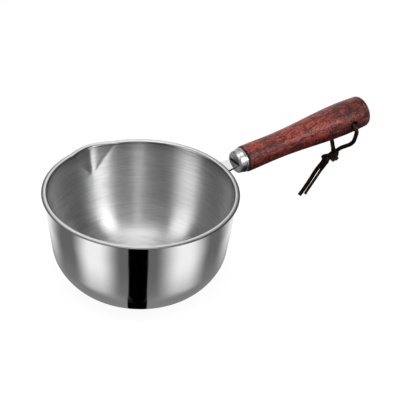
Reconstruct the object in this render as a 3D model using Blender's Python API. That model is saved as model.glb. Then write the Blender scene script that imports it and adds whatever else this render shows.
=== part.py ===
"""Hot oil pot: a small pressed steel saucepan with a pouring spout, a turned
wooden handle on a welded bracket, and a leather hanging thong.

Metres, +Z up. The origin is the centre of the flat base's underside. +X runs
along the handle and +Y points to the spout.
"""
import bpy
import bmesh
from math import acos, cos, hypot, pi, radians, sin, sqrt, tan
from mathutils import Matrix, Vector

# Pot body
POT_HEIGHT = 0.0766
WALL_TOP_RADIUS = 0.0720
RIM_WIDTH = 0.0035
SHEET = 0.0010
WALL_LEAN = radians(7.4)
UPRIGHT_BAND = 0.0169
CORNER_HEIGHT = 0.0276
CORNER_FULLNESS = 0.504
BASE_RADIUS = 0.0440
RIM_BEND = 0.0008

# Spout, pressed into the wall and the rim at +Y
SPOUT_HEIGHT = 0.0230
SPOUT_DEPTH = 0.0027
SPOUT_HALF_ANGLE = radians(15.5)
SPOUT_TIP_HALF_ANGLE = radians(1.0)

# Turned handle and its place: the centre of the wood's front face
HANDLE_STANDOFF = 0.0213
HANDLE_DROP = 0.0033
HANDLE_TILT = radians(3.84)
GRIP_LENGTH = 0.1220
GRIP_FRONT_RADIUS = 0.0107
GRIP_WAIST_RADIUS = 0.0104
GRIP_WAIST_AT = 0.0290
GRIP_BELLY_RADIUS = 0.0136
GRIP_BELLY_AT = 0.1010
GRIP_END_RADIUS = 0.0130
GRIP_END_ROUNDING = 0.0028
GRIP_END_CROWN = 0.0012
GRIP_FRONT_ROUNDING = 0.0006
CROSS_HOLE_FROM_END = 0.0198
CROSS_HOLE_RADIUS = 0.0030

# Seats: parts that touch on the real pot stand this far apart here
SEAT_GAP = 0.0003

# Fibre washer and ferrule, in front of the wood
WASHER_THICKNESS = 0.0008
WASHER_RADIUS = 0.0101
FERRULE_LENGTH = 0.0072
FERRULE_FACE_RADIUS = 0.0076
FERRULE_NOSE_ROUNDING = 0.0008
FERRULE_SHOULDER_RADIUS = 0.0093
FERRULE_SHOULDER_LENGTH = 0.0034
FERRULE_REAR_RADIUS = 0.0100
FERRULE_RING_LENGTH = 0.0016
FERRULE_GROOVE = 0.0003
FERRULE_WALL = 0.0012
FERRULE_BORE_RADIUS = 0.0069
SLOT_CLEARANCE = 0.0005
SPIGOT_LENGTH = 0.0040
SPIGOT_RADIUS = 0.0066

# Bracket: welded pad, bend and flared tab
BRACKET_SHEET = 0.0015
PAD_WIDTH = 0.0300
PAD_HEIGHT = 0.0200
BRACKET_BEND = 0.0022
TAB_ROOT_WIDTH = 0.0150
TAB_FACE_WIDTH = 0.0113
TAB_SHOULDER_DEPTH = 0.0024
TONGUE_WIDTH = 0.0090
TONGUE_REACH = 0.0075

# Stud with a forked head, and its insert in the wood
STUD_HEAD_RADIUS = 0.0048
FORK_DEPTH = 0.0045
FORK_BRIDGE = 0.0020
STUD_RADIUS = 0.0025
STUD_REACH = 0.0200
INSERT_RADIUS = 0.0045
INSERT_LENGTH = 0.0160
INSERT_FLANGE_RADIUS = 0.0060
INSERT_FLANGE = 0.0010

# Leather thong, with its points measured from the centre of the cross hole
THONG_DIAMETER = 0.0028
THONG_SPACING = 1.3
THONG_BEND = 0.0060
THONG_STRAIGHT = 0.0112
FRONT_LEG = [
    (-0.0055, -0.0014, -0.0294),
    (-0.0034, -0.0040, -0.0260),
    (-0.0014, -0.0070, -0.0234),
    (0.0004, -0.0106, -0.0203),
    (0.0009, -0.0136, -0.0167),
    (0.0004, -0.0157, -0.0128),
]
BACK_LEG = [
    (-0.0004, 0.0164, -0.0112),
    (-0.0009, 0.0144, -0.0180),
    (-0.0018, 0.0104, -0.0247),
    (-0.0042, 0.0056, -0.0280),
    (-0.0059, 0.0024, -0.0295),
]
LONG_TAIL = [
    (-0.0165, 0.0017, -0.0385),
    (-0.0224, 0.0017, -0.0447),
    (-0.0283, 0.0015, -0.0526),
    (-0.0350, 0.0012, -0.0601),
    (-0.0387, 0.0011, -0.0639),
]
SHORT_TAIL = [
    (-0.0158, -0.0014, -0.0378),
    (-0.0206, -0.0014, -0.0436),
    (-0.0271, -0.0016, -0.0513),
    (-0.0338, -0.0019, -0.0588),
    (-0.0362, -0.0021, -0.0618),
]
KNOT_PLACE = (-0.0069, 0.0, -0.0349)
KNOT_RADII = (0.0047, 0.0044, 0.0046)
LUMP_PLACE = (-0.0154, 0.0015, -0.0339)
LUMP_RADII = (0.0052, 0.0038, 0.0036)

# Fineness of the round shapes
POT_STEPS = 80
SPOUT_STEPS = 3
SPOUT_SPREAD = 8
CORNER_STEPS = 8
TURN_STEPS = 36
SMALL_STEPS = 24
BORE_STEPS = 24
GRIP_ROWS = 14
LUMP_STEPS = (16, 10)
BEND_STEPS = 5
CURVE_STEPS = 12

SPOUT_ANGLE = pi / 2
Z_AXIS = Vector((0, 0, 1))

# Places that follow from the sizes above, along the handle's own axis
RIM_RADIUS = WALL_TOP_RADIUS + RIM_WIDTH
HANDLE_REACH = RIM_RADIUS + HANDLE_STANDOFF
HANDLE_HEIGHT = POT_HEIGHT - HANDLE_DROP
WASHER_BACK = -SEAT_GAP
WASHER_FRONT = WASHER_BACK - WASHER_THICKNESS
FERRULE_BACK = WASHER_FRONT - SEAT_GAP
FERRULE_FACE = FERRULE_BACK - FERRULE_LENGTH
SPIGOT_END = FERRULE_BACK + SPIGOT_LENGTH
TAB_SHOULDER = FERRULE_FACE + TAB_SHOULDER_DEPTH
TONGUE_END = FERRULE_FACE + TONGUE_REACH
FORK_END = TONGUE_END + SEAT_GAP + FORK_BRIDGE
STUD_END = FORK_END + STUD_REACH
INSERT_FRONT = SPIGOT_END + SEAT_GAP
INSERT_END = INSERT_FRONT + INSERT_LENGTH
CROSS_HOLE_AT = GRIP_LENGTH - CROSS_HOLE_FROM_END


def clear_scene():
    for obj in list(bpy.data.objects):
        bpy.data.objects.remove(obj, do_unlink=True)


def material(name, colour, roughness, metallic):
    mat = bpy.data.materials.new(name)
    mat.use_nodes = True
    shader = mat.node_tree.nodes["Principled BSDF"]
    shader.inputs["Base Color"].default_value = (*colour, 1.0)
    shader.inputs["Roughness"].default_value = roughness
    shader.inputs["Metallic"].default_value = metallic
    return mat


def add_empty(name, place, turn=(0.0, 0.0, 0.0)):
    empty = bpy.data.objects.new(name, None)
    empty.empty_display_size = 0.01
    empty.location = place
    empty.rotation_euler = turn
    bpy.context.scene.collection.objects.link(empty)
    return empty


def add_object(name, data, mat=None, parent=None):
    obj = bpy.data.objects.new(name, data)
    bpy.context.scene.collection.objects.link(obj)
    if mat is not None:
        data.materials.append(mat)
    obj.parent = parent
    return obj


def mesh_from(bm, name, smooth_angle=radians(35)):
    bmesh.ops.remove_doubles(bm, verts=bm.verts, dist=1e-7)
    bmesh.ops.recalc_face_normals(bm, faces=bm.faces)
    mesh = bpy.data.meshes.new(name)
    bm.to_mesh(mesh)
    bm.free()
    mesh.shade_smooth()
    mesh.set_sharp_from_angle(angle=smooth_angle)
    return mesh


def chain(bm, points):
    """Vertices joined by edges in order."""
    verts = [bm.verts.new(p) for p in points]
    for a, b in zip(verts, verts[1:]):
        bm.edges.new((a, b))
    return verts


def turned(name, outline, steps, mat, parent=None, closed=False):
    """Body turned about its own X axis from (along, radius) points."""
    bm = bmesh.new()
    verts = chain(bm, [(along, 0.0, radius) for along, radius in outline])
    if closed:
        bm.edges.new((verts[-1], verts[0]))
    bmesh.ops.spin(
        bm,
        geom=bm.verts[:] + bm.edges[:],
        cent=(0, 0, 0),
        axis=(1, 0, 0),
        angle=2 * pi,
        steps=steps,
        use_merge=True,
    )
    return add_object(name, mesh_from(bm, name), mat, parent)


def cutter_rod(name, radius, length, place, direction, parent=None):
    """Round cutter centred on place, along direction."""
    bm = bmesh.new()
    turn = Z_AXIS.rotation_difference(Vector(direction)).to_matrix().to_4x4()
    bmesh.ops.create_cone(
        bm,
        cap_ends=True,
        segments=BORE_STEPS,
        radius1=radius,
        radius2=radius,
        depth=length,
        matrix=Matrix.Translation(place) @ turn,
    )
    return as_cutter(add_object(name, mesh_from(bm, name), parent=parent))


def cutter_box(name, low, high, parent=None):
    """Box cutter between two corners."""
    low, high = Vector(low), Vector(high)
    bm = bmesh.new()
    bmesh.ops.create_cube(
        bm,
        size=1.0,
        matrix=Matrix.Translation((low + high) / 2) @ Matrix.Diagonal((*(high - low), 1.0)),
    )
    return as_cutter(add_object(name, mesh_from(bm, name), parent=parent))


def as_cutter(obj):
    obj.hide_render = True
    obj.display_type = "WIRE"
    return obj


def boolean(obj, other, operation):
    modifier = obj.modifiers.new(operation.title(), "BOOLEAN")
    modifier.operation = operation
    modifier.solver = "EXACT"
    modifier.object = other


# Pot body

def wall_radius(z):
    """Outer radius of the straight part of the wall at height z, above the corner."""
    below_band = POT_HEIGHT - UPRIGHT_BAND - z
    return WALL_TOP_RADIUS - max(0.0, below_band) * tan(WALL_LEAN)


def corner_arc(start, pull, end):
    """Points of a conic from start to end, drawn towards the point pull."""
    points = []
    for i in range(CORNER_STEPS + 1):
        t = i / CORNER_STEPS
        a, b, c = (1 - t) ** 2, 2 * CORNER_FULLNESS * t * (1 - t), t ** 2
        whole = a + b + c
        points.append(tuple((a * p + b * q + c * r) / whole for p, q, r in zip(start, pull, end)))
    return points


def outer_outline():
    """Outside of the bowl as (radius, height), from the base to the rim's underside."""
    corner_radius = wall_radius(CORNER_HEIGHT)
    ground_radius = corner_radius - CORNER_HEIGHT * tan(WALL_LEAN)
    corner = corner_arc((BASE_RADIUS, 0.0), (ground_radius, 0.0), (corner_radius, CORNER_HEIGHT))
    spout_tip = POT_HEIGHT - SPOUT_HEIGHT
    knee = POT_HEIGHT - UPRIGHT_BAND
    rim_root = POT_HEIGHT - SHEET - RIM_BEND
    heights = sorted((spout_tip, (spout_tip + CORNER_HEIGHT) / 2, knee, rim_root))
    wall = [(wall_radius(z), z) for z in heights]
    return [(BASE_RADIUS / 2, 0.0)] + corner + wall


def offset_inward(points, distance):
    """The outline moved by distance to the inside of the bowl."""
    moved = []
    for i, (radius, z) in enumerate(points):
        before = points[max(i - 1, 0)]
        after = points[min(i + 1, len(points) - 1)]
        run, rise = after[0] - before[0], after[1] - before[1]
        size = hypot(run, rise)
        moved.append((radius - distance * rise / size, z + distance * run / size))
    return moved


def rim_outline():
    """The turned-out rim, from the wall's outside round the edge to the inside."""
    root = WALL_TOP_RADIUS
    top = POT_HEIGHT
    edge = SHEET * 0.3
    inner_bend = RIM_BEND + SHEET
    points = []
    for turn in (30, 60, 90):
        a = radians(turn)
        points.append((root + RIM_BEND * (1 - cos(a)), top - SHEET - RIM_BEND * (1 - sin(a))))
    points += [
        (RIM_RADIUS - edge, top - SHEET),
        (RIM_RADIUS, top - SHEET + edge),
        (RIM_RADIUS, top - edge),
        (RIM_RADIUS - edge, top),
    ]
    for turn in (90, 60, 30):
        a = radians(turn)
        points.append((root - SHEET + inner_bend * (1 - cos(a)), top - inner_bend * (1 - sin(a))))
    return points


def press_spout(bm):
    """Draw the columns at +Y together along the V and push them outwards."""
    step = 2 * pi / POT_STEPS
    spread = SPOUT_SPREAD * step
    tip = POT_HEIGHT - SPOUT_HEIGHT
    for v in bm.verts:
        radius = hypot(v.co.x, v.co.y)
        if radius < BASE_RADIUS or v.co.z < tip - 1e-5:
            continue
        away = acos(max(-1.0, min(1.0, v.co.y / radius)))
        if away > spread - 1e-6:
            continue
        climb = min(1.0, (v.co.z - tip) / SPOUT_HEIGHT)
        half = SPOUT_TIP_HALF_ANGLE + (SPOUT_HALF_ANGLE - SPOUT_TIP_HALF_ANGLE) * climb
        column = away / step
        if column <= SPOUT_STEPS:
            share = column / SPOUT_STEPS
            moved = half * share
            radius += SPOUT_DEPTH * climb * (1 - share)
        else:
            share = (column - SPOUT_STEPS) / (SPOUT_SPREAD - SPOUT_STEPS)
            moved = half + (spread - half) * share
        side = 1.0 if v.co.x < 0 else -1.0
        angle = SPOUT_ANGLE + side * moved
        v.co.x = radius * cos(angle)
        v.co.y = radius * sin(angle)


def make_pot_body(mat):
    outside = outer_outline()
    inside = offset_inward(outside, SHEET)
    outline = [(0.0, 0.0)] + outside + rim_outline() + inside[::-1] + [(0.0, SHEET)]
    bm = bmesh.new()
    chain(bm, [(0.0, radius, z) for radius, z in outline])
    bmesh.ops.spin(
        bm,
        geom=bm.verts[:] + bm.edges[:],
        cent=(0, 0, 0),
        axis=Z_AXIS,
        angle=2 * pi,
        steps=POT_STEPS,
        use_merge=True,
    )
    press_spout(bm)
    return add_object("pot_body", mesh_from(bm, "pot_body"), mat)


# Handle bracket

def handle_point(along, side=0.0, up=0.0):
    """World point from handle coordinates: along the axis, to the side, above."""
    x = HANDLE_REACH + along * cos(HANDLE_TILT) - up * sin(HANDLE_TILT)
    z = HANDLE_HEIGHT + along * sin(HANDLE_TILT) + up * cos(HANDLE_TILT)
    return Vector((x, side, z))


def pad_half_width(share):
    """Half width of the pad at a share of its height: round feet and a drawn-in neck."""
    foot = max(0.0, 1 - share / 0.32)
    neck = min(1.0, max(0.0, (share - 0.5) / 0.5))
    neck = neck * neck * (3 - 2 * neck)
    width = PAD_WIDTH * (1 - 0.34 * foot ** 2)
    return (width + (TAB_ROOT_WIDTH - width) * neck) / 2


def columns_across(half_width):
    """Places across the sheet; the middle five lie on the tongue's lines."""
    tongue = TONGUE_WIDTH / TAB_FACE_WIDTH
    places = []
    for j in range(-5, 6):
        share = tongue * abs(j) / 2 if abs(j) <= 2 else tongue + (1 - tongue) * (abs(j) - 2) / 3
        places.append(half_width * (share if j > 0 else -share))
    return places


def bracket_rows():
    """Rows of points on the bracket's mid surface, from the pad's foot to the tab's shoulders."""
    out_of_wall = SEAT_GAP + BRACKET_SHEET / 2
    bend_radius = BRACKET_BEND + BRACKET_SHEET / 2
    tab_x = WALL_TOP_RADIUS + out_of_wall + bend_radius * (1 - sin(HANDLE_TILT))
    tab_start = (tab_x - HANDLE_REACH) / cos(HANDLE_TILT)
    pad_top = handle_point(tab_start).z - bend_radius * cos(HANDLE_TILT)
    pad_foot = pad_top - PAD_HEIGHT
    knee = (POT_HEIGHT - UPRIGHT_BAND - pad_foot) / PAD_HEIGHT
    shares = [0.0, 0.07, 0.16, 0.32, 0.62, 0.75, 0.88, 1.0]
    if 0.0 < knee < 1.0:
        shares = sorted(shares + [knee])
    rows = []
    for share in shares:
        z = pad_foot + share * PAD_HEIGHT
        sides = columns_across(pad_half_width(share))
        rows.append([(sqrt(wall_radius(z) ** 2 - y ** 2) + out_of_wall, y, z) for y in sides])
    sweep = pi / 2 - HANDLE_TILT
    sides = columns_across(TAB_ROOT_WIDTH / 2)
    for i in range(1, BEND_STEPS + 1):
        straight = i / BEND_STEPS
        turn = sweep * straight
        x = out_of_wall + bend_radius * (1 - cos(turn))
        z = pad_top + bend_radius * sin(turn)
        row = []
        for y in sides:
            root = sqrt(WALL_TOP_RADIUS ** 2 - y ** 2)
            row.append((x + root + straight * (WALL_TOP_RADIUS - root), y, z))
        rows.append(row)
    for share in (0.5, 1.0):
        along = tab_start + share * (FERRULE_FACE - tab_start)
        half = (TAB_ROOT_WIDTH + share * (TAB_FACE_WIDTH - TAB_ROOT_WIDTH)) / 2
        rows.append([handle_point(along, y) for y in columns_across(half)])
    rows.append([handle_point(TAB_SHOULDER, y) for y in columns_across(TAB_FACE_WIDTH / 2)])
    return rows


def join_rows(bm, lower, upper):
    for j in range(len(lower) - 1):
        bm.faces.new((lower[j], lower[j + 1], upper[j + 1], upper[j]))


def make_bracket(mat):
    bm = bmesh.new()
    rows = [[bm.verts.new(p) for p in row] for row in bracket_rows()]
    for lower, upper in zip(rows, rows[1:]):
        join_rows(bm, lower, upper)
    tongue_root = rows[-1][3:8]
    tongue_tip = [bm.verts.new(handle_point(TONGUE_END, v.co.y)) for v in tongue_root]
    join_rows(bm, tongue_root, tongue_tip)
    obj = add_object("handle_bracket", mesh_from(bm, "handle_bracket"), mat)
    sheet = obj.modifiers.new("Sheet", "SOLIDIFY")
    sheet.thickness = BRACKET_SHEET
    sheet.offset = 0.0
    sheet.use_even_offset = True
    return obj


# Pieces on the handle's axis

def arc_points(centre, radius, start, stop, steps):
    """Arc in the (along, radius) plane; angles from the axis direction."""
    points = []
    for i in range(steps + 1):
        a = radians(start + (stop - start) * i / steps)
        points.append((centre[0] + radius * cos(a), centre[1] + radius * sin(a)))
    return points


def make_ferrule(mat, axis):
    round_nose = FERRULE_NOSE_ROUNDING
    shoulder = FERRULE_FACE + FERRULE_SHOULDER_LENGTH
    ring_front = FERRULE_BACK - FERRULE_RING_LENGTH
    inner = SPIGOT_RADIUS - FERRULE_WALL
    outline = [(FERRULE_FACE, 0.0)]
    nose_centre = (FERRULE_FACE + round_nose, FERRULE_FACE_RADIUS)
    outline += arc_points(nose_centre, round_nose, 180, 110, 3)
    outline += [
        (shoulder, FERRULE_SHOULDER_RADIUS),
        (ring_front - FERRULE_GROOVE, FERRULE_SHOULDER_RADIUS + FERRULE_GROOVE),
        (ring_front, FERRULE_SHOULDER_RADIUS),
        (ring_front + FERRULE_GROOVE, FERRULE_REAR_RADIUS),
        (FERRULE_BACK - FERRULE_GROOVE / 2, FERRULE_REAR_RADIUS),
        (FERRULE_BACK, FERRULE_REAR_RADIUS - FERRULE_GROOVE / 2),
        (FERRULE_BACK, SPIGOT_RADIUS),
        (SPIGOT_END, SPIGOT_RADIUS),
        (SPIGOT_END, inner),
        (FERRULE_BACK - FERRULE_WALL, inner),
        (FERRULE_BACK - FERRULE_WALL, FERRULE_BORE_RADIUS),
        (FERRULE_FACE + FERRULE_WALL, FERRULE_BORE_RADIUS),
        (FERRULE_FACE + FERRULE_WALL, 0.0),
    ]
    ferrule = turned("ferrule", outline, TURN_STEPS, mat, axis)
    half_slot = BRACKET_SHEET / 2 + SLOT_CLEARANCE
    half_width = TAB_FACE_WIDTH / 2 + SLOT_CLEARANCE
    slot = cutter_box(
        "ferrule_slot_cutter",
        (FERRULE_FACE - FERRULE_WALL, -half_width, -half_slot),
        (FERRULE_FACE + 2 * FERRULE_WALL, half_width, half_slot),
        axis,
    )
    boolean(ferrule, slot, "DIFFERENCE")
    return ferrule


def make_washer(mat, axis):
    hole = SPIGOT_RADIUS + SEAT_GAP
    outline = [
        (WASHER_FRONT, hole),
        (WASHER_FRONT, WASHER_RADIUS),
        (WASHER_BACK, WASHER_RADIUS),
        (WASHER_BACK, hole),
    ]
    return turned("fibre_washer", outline, TURN_STEPS, mat, axis, closed=True)


def make_stud(mat, axis):
    head_front = TONGUE_END - FORK_DEPTH
    lead = STUD_RADIUS * 0.3
    outline = [
        (head_front, 0.0),
        (head_front, STUD_HEAD_RADIUS),
        (FORK_END, STUD_HEAD_RADIUS),
        (FORK_END, STUD_RADIUS),
        (STUD_END - lead, STUD_RADIUS),
        (STUD_END, STUD_RADIUS - lead),
        (STUD_END, 0.0),
    ]
    stud = turned("handle_stud", outline, SMALL_STEPS, mat, axis)
    half_slot = BRACKET_SHEET / 2 + SEAT_GAP
    slot = cutter_box(
        "fork_slot_cutter",
        (head_front - STUD_RADIUS, -2 * STUD_HEAD_RADIUS, -half_slot),
        (TONGUE_END + SEAT_GAP, 2 * STUD_HEAD_RADIUS, half_slot),
        axis,
    )
    boolean(stud, slot, "DIFFERENCE")
    return stud


def make_insert(mat, axis):
    bore = STUD_RADIUS + SEAT_GAP
    outline = [
        (INSERT_FRONT, bore),
        (INSERT_FRONT, INSERT_FLANGE_RADIUS),
        (INSERT_FRONT + INSERT_FLANGE, INSERT_FLANGE_RADIUS),
        (INSERT_FRONT + INSERT_FLANGE, INSERT_RADIUS),
        (INSERT_END, INSERT_RADIUS),
        (INSERT_END, bore),
    ]
    return turned("threaded_insert", outline, SMALL_STEPS, mat, axis, closed=True)


def swell(along):
    """Radius of the wood's long outline: front, waist, belly and end in half waves."""
    stations = [
        (0.0, GRIP_FRONT_RADIUS),
        (GRIP_WAIST_AT, GRIP_WAIST_RADIUS),
        (GRIP_BELLY_AT, GRIP_BELLY_RADIUS),
        (GRIP_LENGTH, GRIP_END_RADIUS),
    ]
    for (a, low), (b, high) in zip(stations, stations[1:]):
        if along <= b:
            share = (along - a) / (b - a)
            return low + (high - low) * (1 - cos(pi * share)) / 2
    return GRIP_END_RADIUS


def grip_outline():
    front = GRIP_FRONT_ROUNDING
    end = GRIP_LENGTH - GRIP_END_CROWN
    last = end - GRIP_END_ROUNDING
    counterbore = INSERT_FRONT + INSERT_FLANGE + SEAT_GAP
    insert_bore = INSERT_RADIUS + SEAT_GAP
    stud_bore = STUD_RADIUS + SEAT_GAP
    spigot_bore = SPIGOT_RADIUS + SEAT_GAP
    outline = [
        (STUD_END + SEAT_GAP, 0.0),
        (STUD_END + SEAT_GAP, stud_bore),
        (INSERT_END + SEAT_GAP, stud_bore),
        (INSERT_END + SEAT_GAP, insert_bore),
        (counterbore, insert_bore),
        (counterbore, spigot_bore),
        (0.0, spigot_bore),
    ]
    outline += arc_points((front, swell(front) - front), front, 180, 90, 2)
    for i in range(1, GRIP_ROWS + 1):
        along = front + (last - front) * i / GRIP_ROWS
        outline.append((along, swell(along)))
    round_centre = (last, swell(last) - GRIP_END_ROUNDING)
    outline += arc_points(round_centre, GRIP_END_ROUNDING, 90, 0, 5)[1:]
    flat_radius = round_centre[1]
    for share in (0.66, 0.33, 0.0):
        outline.append((end + GRIP_END_CROWN * (1 - share ** 2), flat_radius * share))
    return outline


def make_grip(mat, axis):
    grip = turned("handle_grip", grip_outline(), TURN_STEPS, mat, axis)
    hole = cutter_rod(
        "cross_hole_cutter",
        CROSS_HOLE_RADIUS,
        GRIP_BELLY_RADIUS * 3,
        (CROSS_HOLE_AT, 0, 0),
        (0, 1, 0),
        axis,
    )
    boolean(grip, hole, "DIFFERENCE")
    return grip


# Leather thong

def smooth_run(points, spacing):
    """Even points on a smooth curve through the given ones."""
    points = [Vector(p) for p in points]
    ends = [2 * points[0] - points[1]] + points + [2 * points[-1] - points[-2]]
    fine = []
    for i in range(1, len(ends) - 2):
        a, b, c, d = ends[i - 1:i + 3]
        for k in range(CURVE_STEPS):
            t = k / CURVE_STEPS
            fine.append(
                0.5 * (2 * b + (c - a) * t + (2 * a - 5 * b + 4 * c - d) * t ** 2
                       + (3 * b - a - 3 * c + d) * t ** 3)
            )
    fine.append(points[-1])
    lengths = [0.0]
    for a, b in zip(fine, fine[1:]):
        lengths.append(lengths[-1] + (b - a).length)
    count = max(2, round(lengths[-1] / spacing))
    even = []
    k = 0
    for i in range(count + 1):
        want = lengths[-1] * i / count
        while k < len(fine) - 2 and lengths[k + 1] < want:
            k += 1
        share = (want - lengths[k]) / (lengths[k + 1] - lengths[k])
        even.append(fine[k].lerp(fine[k + 1], share))
    return even


def mouth_bend(side):
    """The lace's bend out of the cross hole, from the hole to the leg."""
    points = []
    for turn in (0, 30, 60, 90):
        a = radians(turn)
        y = THONG_STRAIGHT + THONG_BEND * sin(a)
        points.append((0.0, side * y, THONG_BEND * (cos(a) - 1)))
    return points


def loop_route():
    front = FRONT_LEG + mouth_bend(-1)[::-1]
    back = mouth_bend(1) + BACK_LEG
    return front + [(0.0, 0.0, 0.0)] + back


def make_lace(name, route, mat, pivot):
    curve = bpy.data.curves.new(name, "CURVE")
    curve.dimensions = "3D"
    curve.bevel_depth = THONG_DIAMETER / 2
    curve.bevel_resolution = 2
    curve.use_fill_caps = True
    points = smooth_run(route, THONG_SPACING * THONG_DIAMETER)
    spline = curve.splines.new("POLY")
    spline.points.add(len(points) - 1)
    for target, p in zip(spline.points, points):
        target.co = (*p, 1.0)
    return add_object(name, curve, mat, pivot)


def rounded_lump(name, place, radii, mat=None, parent=None):
    bm = bmesh.new()
    bmesh.ops.create_uvsphere(
        bm,
        u_segments=LUMP_STEPS[0],
        v_segments=LUMP_STEPS[1],
        radius=1.0,
        matrix=Matrix.Translation(place) @ Matrix.Diagonal((*radii, 1.0)),
    )
    return add_object(name, mesh_from(bm, name), mat, parent)


def make_knot(mat, pivot):
    knot = rounded_lump("thong_knot", KNOT_PLACE, KNOT_RADII, mat, pivot)
    lump = rounded_lump("knot_lump_guide", LUMP_PLACE, LUMP_RADII, parent=pivot)
    boolean(knot, as_cutter(lump), "UNION")
    return knot


def main():
    clear_scene()
    mirror_steel = material("mirror_steel", (0.78, 0.78, 0.79), 0.12, 1.0)
    bracket_steel = material("bracket_steel", (0.74, 0.74, 0.75), 0.18, 1.0)
    ferrule_steel = material("ferrule_steel", (0.70, 0.70, 0.71), 0.25, 1.0)
    fibre = material("black_fibre", (0.03, 0.02, 0.02), 0.8, 0.0)
    zinc = material("zinc_steel", (0.60, 0.61, 0.63), 0.35, 1.0)
    brass = material("brass", (0.72, 0.55, 0.25), 0.3, 1.0)
    wood = material("red_wood", (0.27, 0.06, 0.045), 0.3, 0.0)
    leather = material("dark_leather", (0.03, 0.015, 0.012), 0.65, 0.0)
    make_pot_body(mirror_steel)
    make_bracket(bracket_steel)
    axis = add_empty("handle_axis", (HANDLE_REACH, 0, HANDLE_HEIGHT), (0, -HANDLE_TILT, 0))
    make_ferrule(ferrule_steel, axis)
    make_washer(fibre, axis)
    make_stud(zinc, axis)
    make_insert(brass, axis)
    make_grip(wood, axis)
    pivot = add_empty("thong_pivot", handle_point(CROSS_HOLE_AT))
    make_lace("thong_loop", loop_route(), leather, pivot)
    make_knot(leather, pivot)
    make_lace("thong_tail_long", LONG_TAIL, leather, pivot)
    make_lace("thong_tail_short", SHORT_TAIL, leather, pivot)


main()
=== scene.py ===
# %% [markdown]
# # A small hot oil pot, dressed for its picture
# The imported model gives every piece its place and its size. This file gives the pieces their look:
# mirror steel outside, brushed steel inside, lacquered wood, and a leather lace in the handle.
# Everything is in metres, with +Z up, +X along the handle and +Y towards the spout.

from math import acos, cos, degrees, exp, hypot, pi, radians, sin, sqrt, tan

import bmesh
import bpy
from mathutils import Matrix, Vector


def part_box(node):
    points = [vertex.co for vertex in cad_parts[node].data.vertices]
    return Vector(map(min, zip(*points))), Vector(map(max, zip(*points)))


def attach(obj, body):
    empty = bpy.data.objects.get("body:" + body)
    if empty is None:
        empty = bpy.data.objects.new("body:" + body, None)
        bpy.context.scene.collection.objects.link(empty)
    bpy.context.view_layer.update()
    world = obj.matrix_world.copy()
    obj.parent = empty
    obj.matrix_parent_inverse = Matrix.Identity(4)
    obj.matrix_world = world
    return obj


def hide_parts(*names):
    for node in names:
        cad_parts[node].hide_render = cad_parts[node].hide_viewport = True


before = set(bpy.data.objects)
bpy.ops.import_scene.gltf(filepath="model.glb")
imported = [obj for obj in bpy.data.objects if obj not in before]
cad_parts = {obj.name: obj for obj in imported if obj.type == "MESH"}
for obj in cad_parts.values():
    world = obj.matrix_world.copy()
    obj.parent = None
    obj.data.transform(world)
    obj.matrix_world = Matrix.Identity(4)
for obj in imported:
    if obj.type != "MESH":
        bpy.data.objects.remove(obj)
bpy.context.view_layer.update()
scene = bpy.context.scene
scene.view_settings.view_transform = "Standard"
print("frame loaded:", len(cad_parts), "nodes")

# %% [markdown]
# ## The camera
# The camera comes first, because every later choice is judged through it. Its place was found by
# fitting the rim, the bowl's outline and the handle to the photograph: it stands 1.2 m away, looks
# down at 34 degrees and leans a little to one side. A Track To constraint could aim it, but it
# would keep the camera level. So the three axes are worked out here, and the lean is part of them.
# A long lens keeps the pot free of distortion.

# %% Camera
CAMERA_PLACE = Vector((-0.52465, -0.79339, 0.70724))
CAMERA_AZIMUTH = radians(-36.2)
CAMERA_ELEVATION = radians(33.827)
CAMERA_ROLL = radians(2.711)
CAMERA_LENS = 135
SENSOR_WIDTH = 36
NEAREST_SEEN = 0.05

camera_back = Vector((
    sin(CAMERA_AZIMUTH) * cos(CAMERA_ELEVATION),
    -cos(CAMERA_AZIMUTH) * cos(CAMERA_ELEVATION),
    sin(CAMERA_ELEVATION),
))
level_right = Vector((cos(CAMERA_AZIMUTH), sin(CAMERA_AZIMUTH), 0))
level_up = camera_back.cross(level_right)
camera_right = cos(CAMERA_ROLL) * level_right + sin(CAMERA_ROLL) * level_up
camera_up = -sin(CAMERA_ROLL) * level_right + cos(CAMERA_ROLL) * level_up


def axes_matrix(x_axis, y_axis, z_axis, place):
    """Matrix that carries the three axes and the origin to these places."""
    turn = Matrix((x_axis, y_axis, z_axis)).transposed().to_4x4()
    return Matrix.Translation(place) @ turn


camera_data = bpy.data.cameras.new("camera")
camera_data.lens = CAMERA_LENS
camera_data.sensor_width = SENSOR_WIDTH
camera_data.clip_start = NEAREST_SEEN
camera = bpy.data.objects.new("camera", camera_data)
camera.matrix_world = axes_matrix(camera_right, camera_up, camera_back, CAMERA_PLACE)
scene.collection.objects.link(camera)
scene.camera = camera
print("camera", round(CAMERA_PLACE.length, 3), "m from the middle of the base")

# %% [markdown]
# ## From an outline to a piece
# Most pieces here are pressed or turned, so their shape is an outline spun about an axis. A Screw
# modifier could spin it too. Spinning in bmesh is chosen because the points can still be moved
# afterwards, which the spout needs. These helpers make the chain of points, spin it, and hand the
# finished mesh to the frame: each piece rides on a body and may stand for one node.

# %% Arcs and chains of points


def arc(centre, radius, start, stop, steps):
    """Points of an arc in a plane of two coordinates; degrees count from the first one's axis."""
    points = []
    for i in range(steps + 1):
        a = radians(start + (stop - start) * i / steps)
        points.append((centre[0] + radius * cos(a), centre[1] + radius * sin(a)))
    return points


def chain(bm, points):
    """Vertices joined by edges in order."""
    verts = [bm.verts.new(p) for p in points]
    for first, second in zip(verts, verts[1:]):
        bm.edges.new((first, second))
    return verts


# %% Spin an outline, extrude a row
X_AXIS = Vector((1, 0, 0))
Y_AXIS = Vector((0, 1, 0))
Z_AXIS = Vector((0, 0, 1))
WELD_DISTANCE = 1e-7


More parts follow.
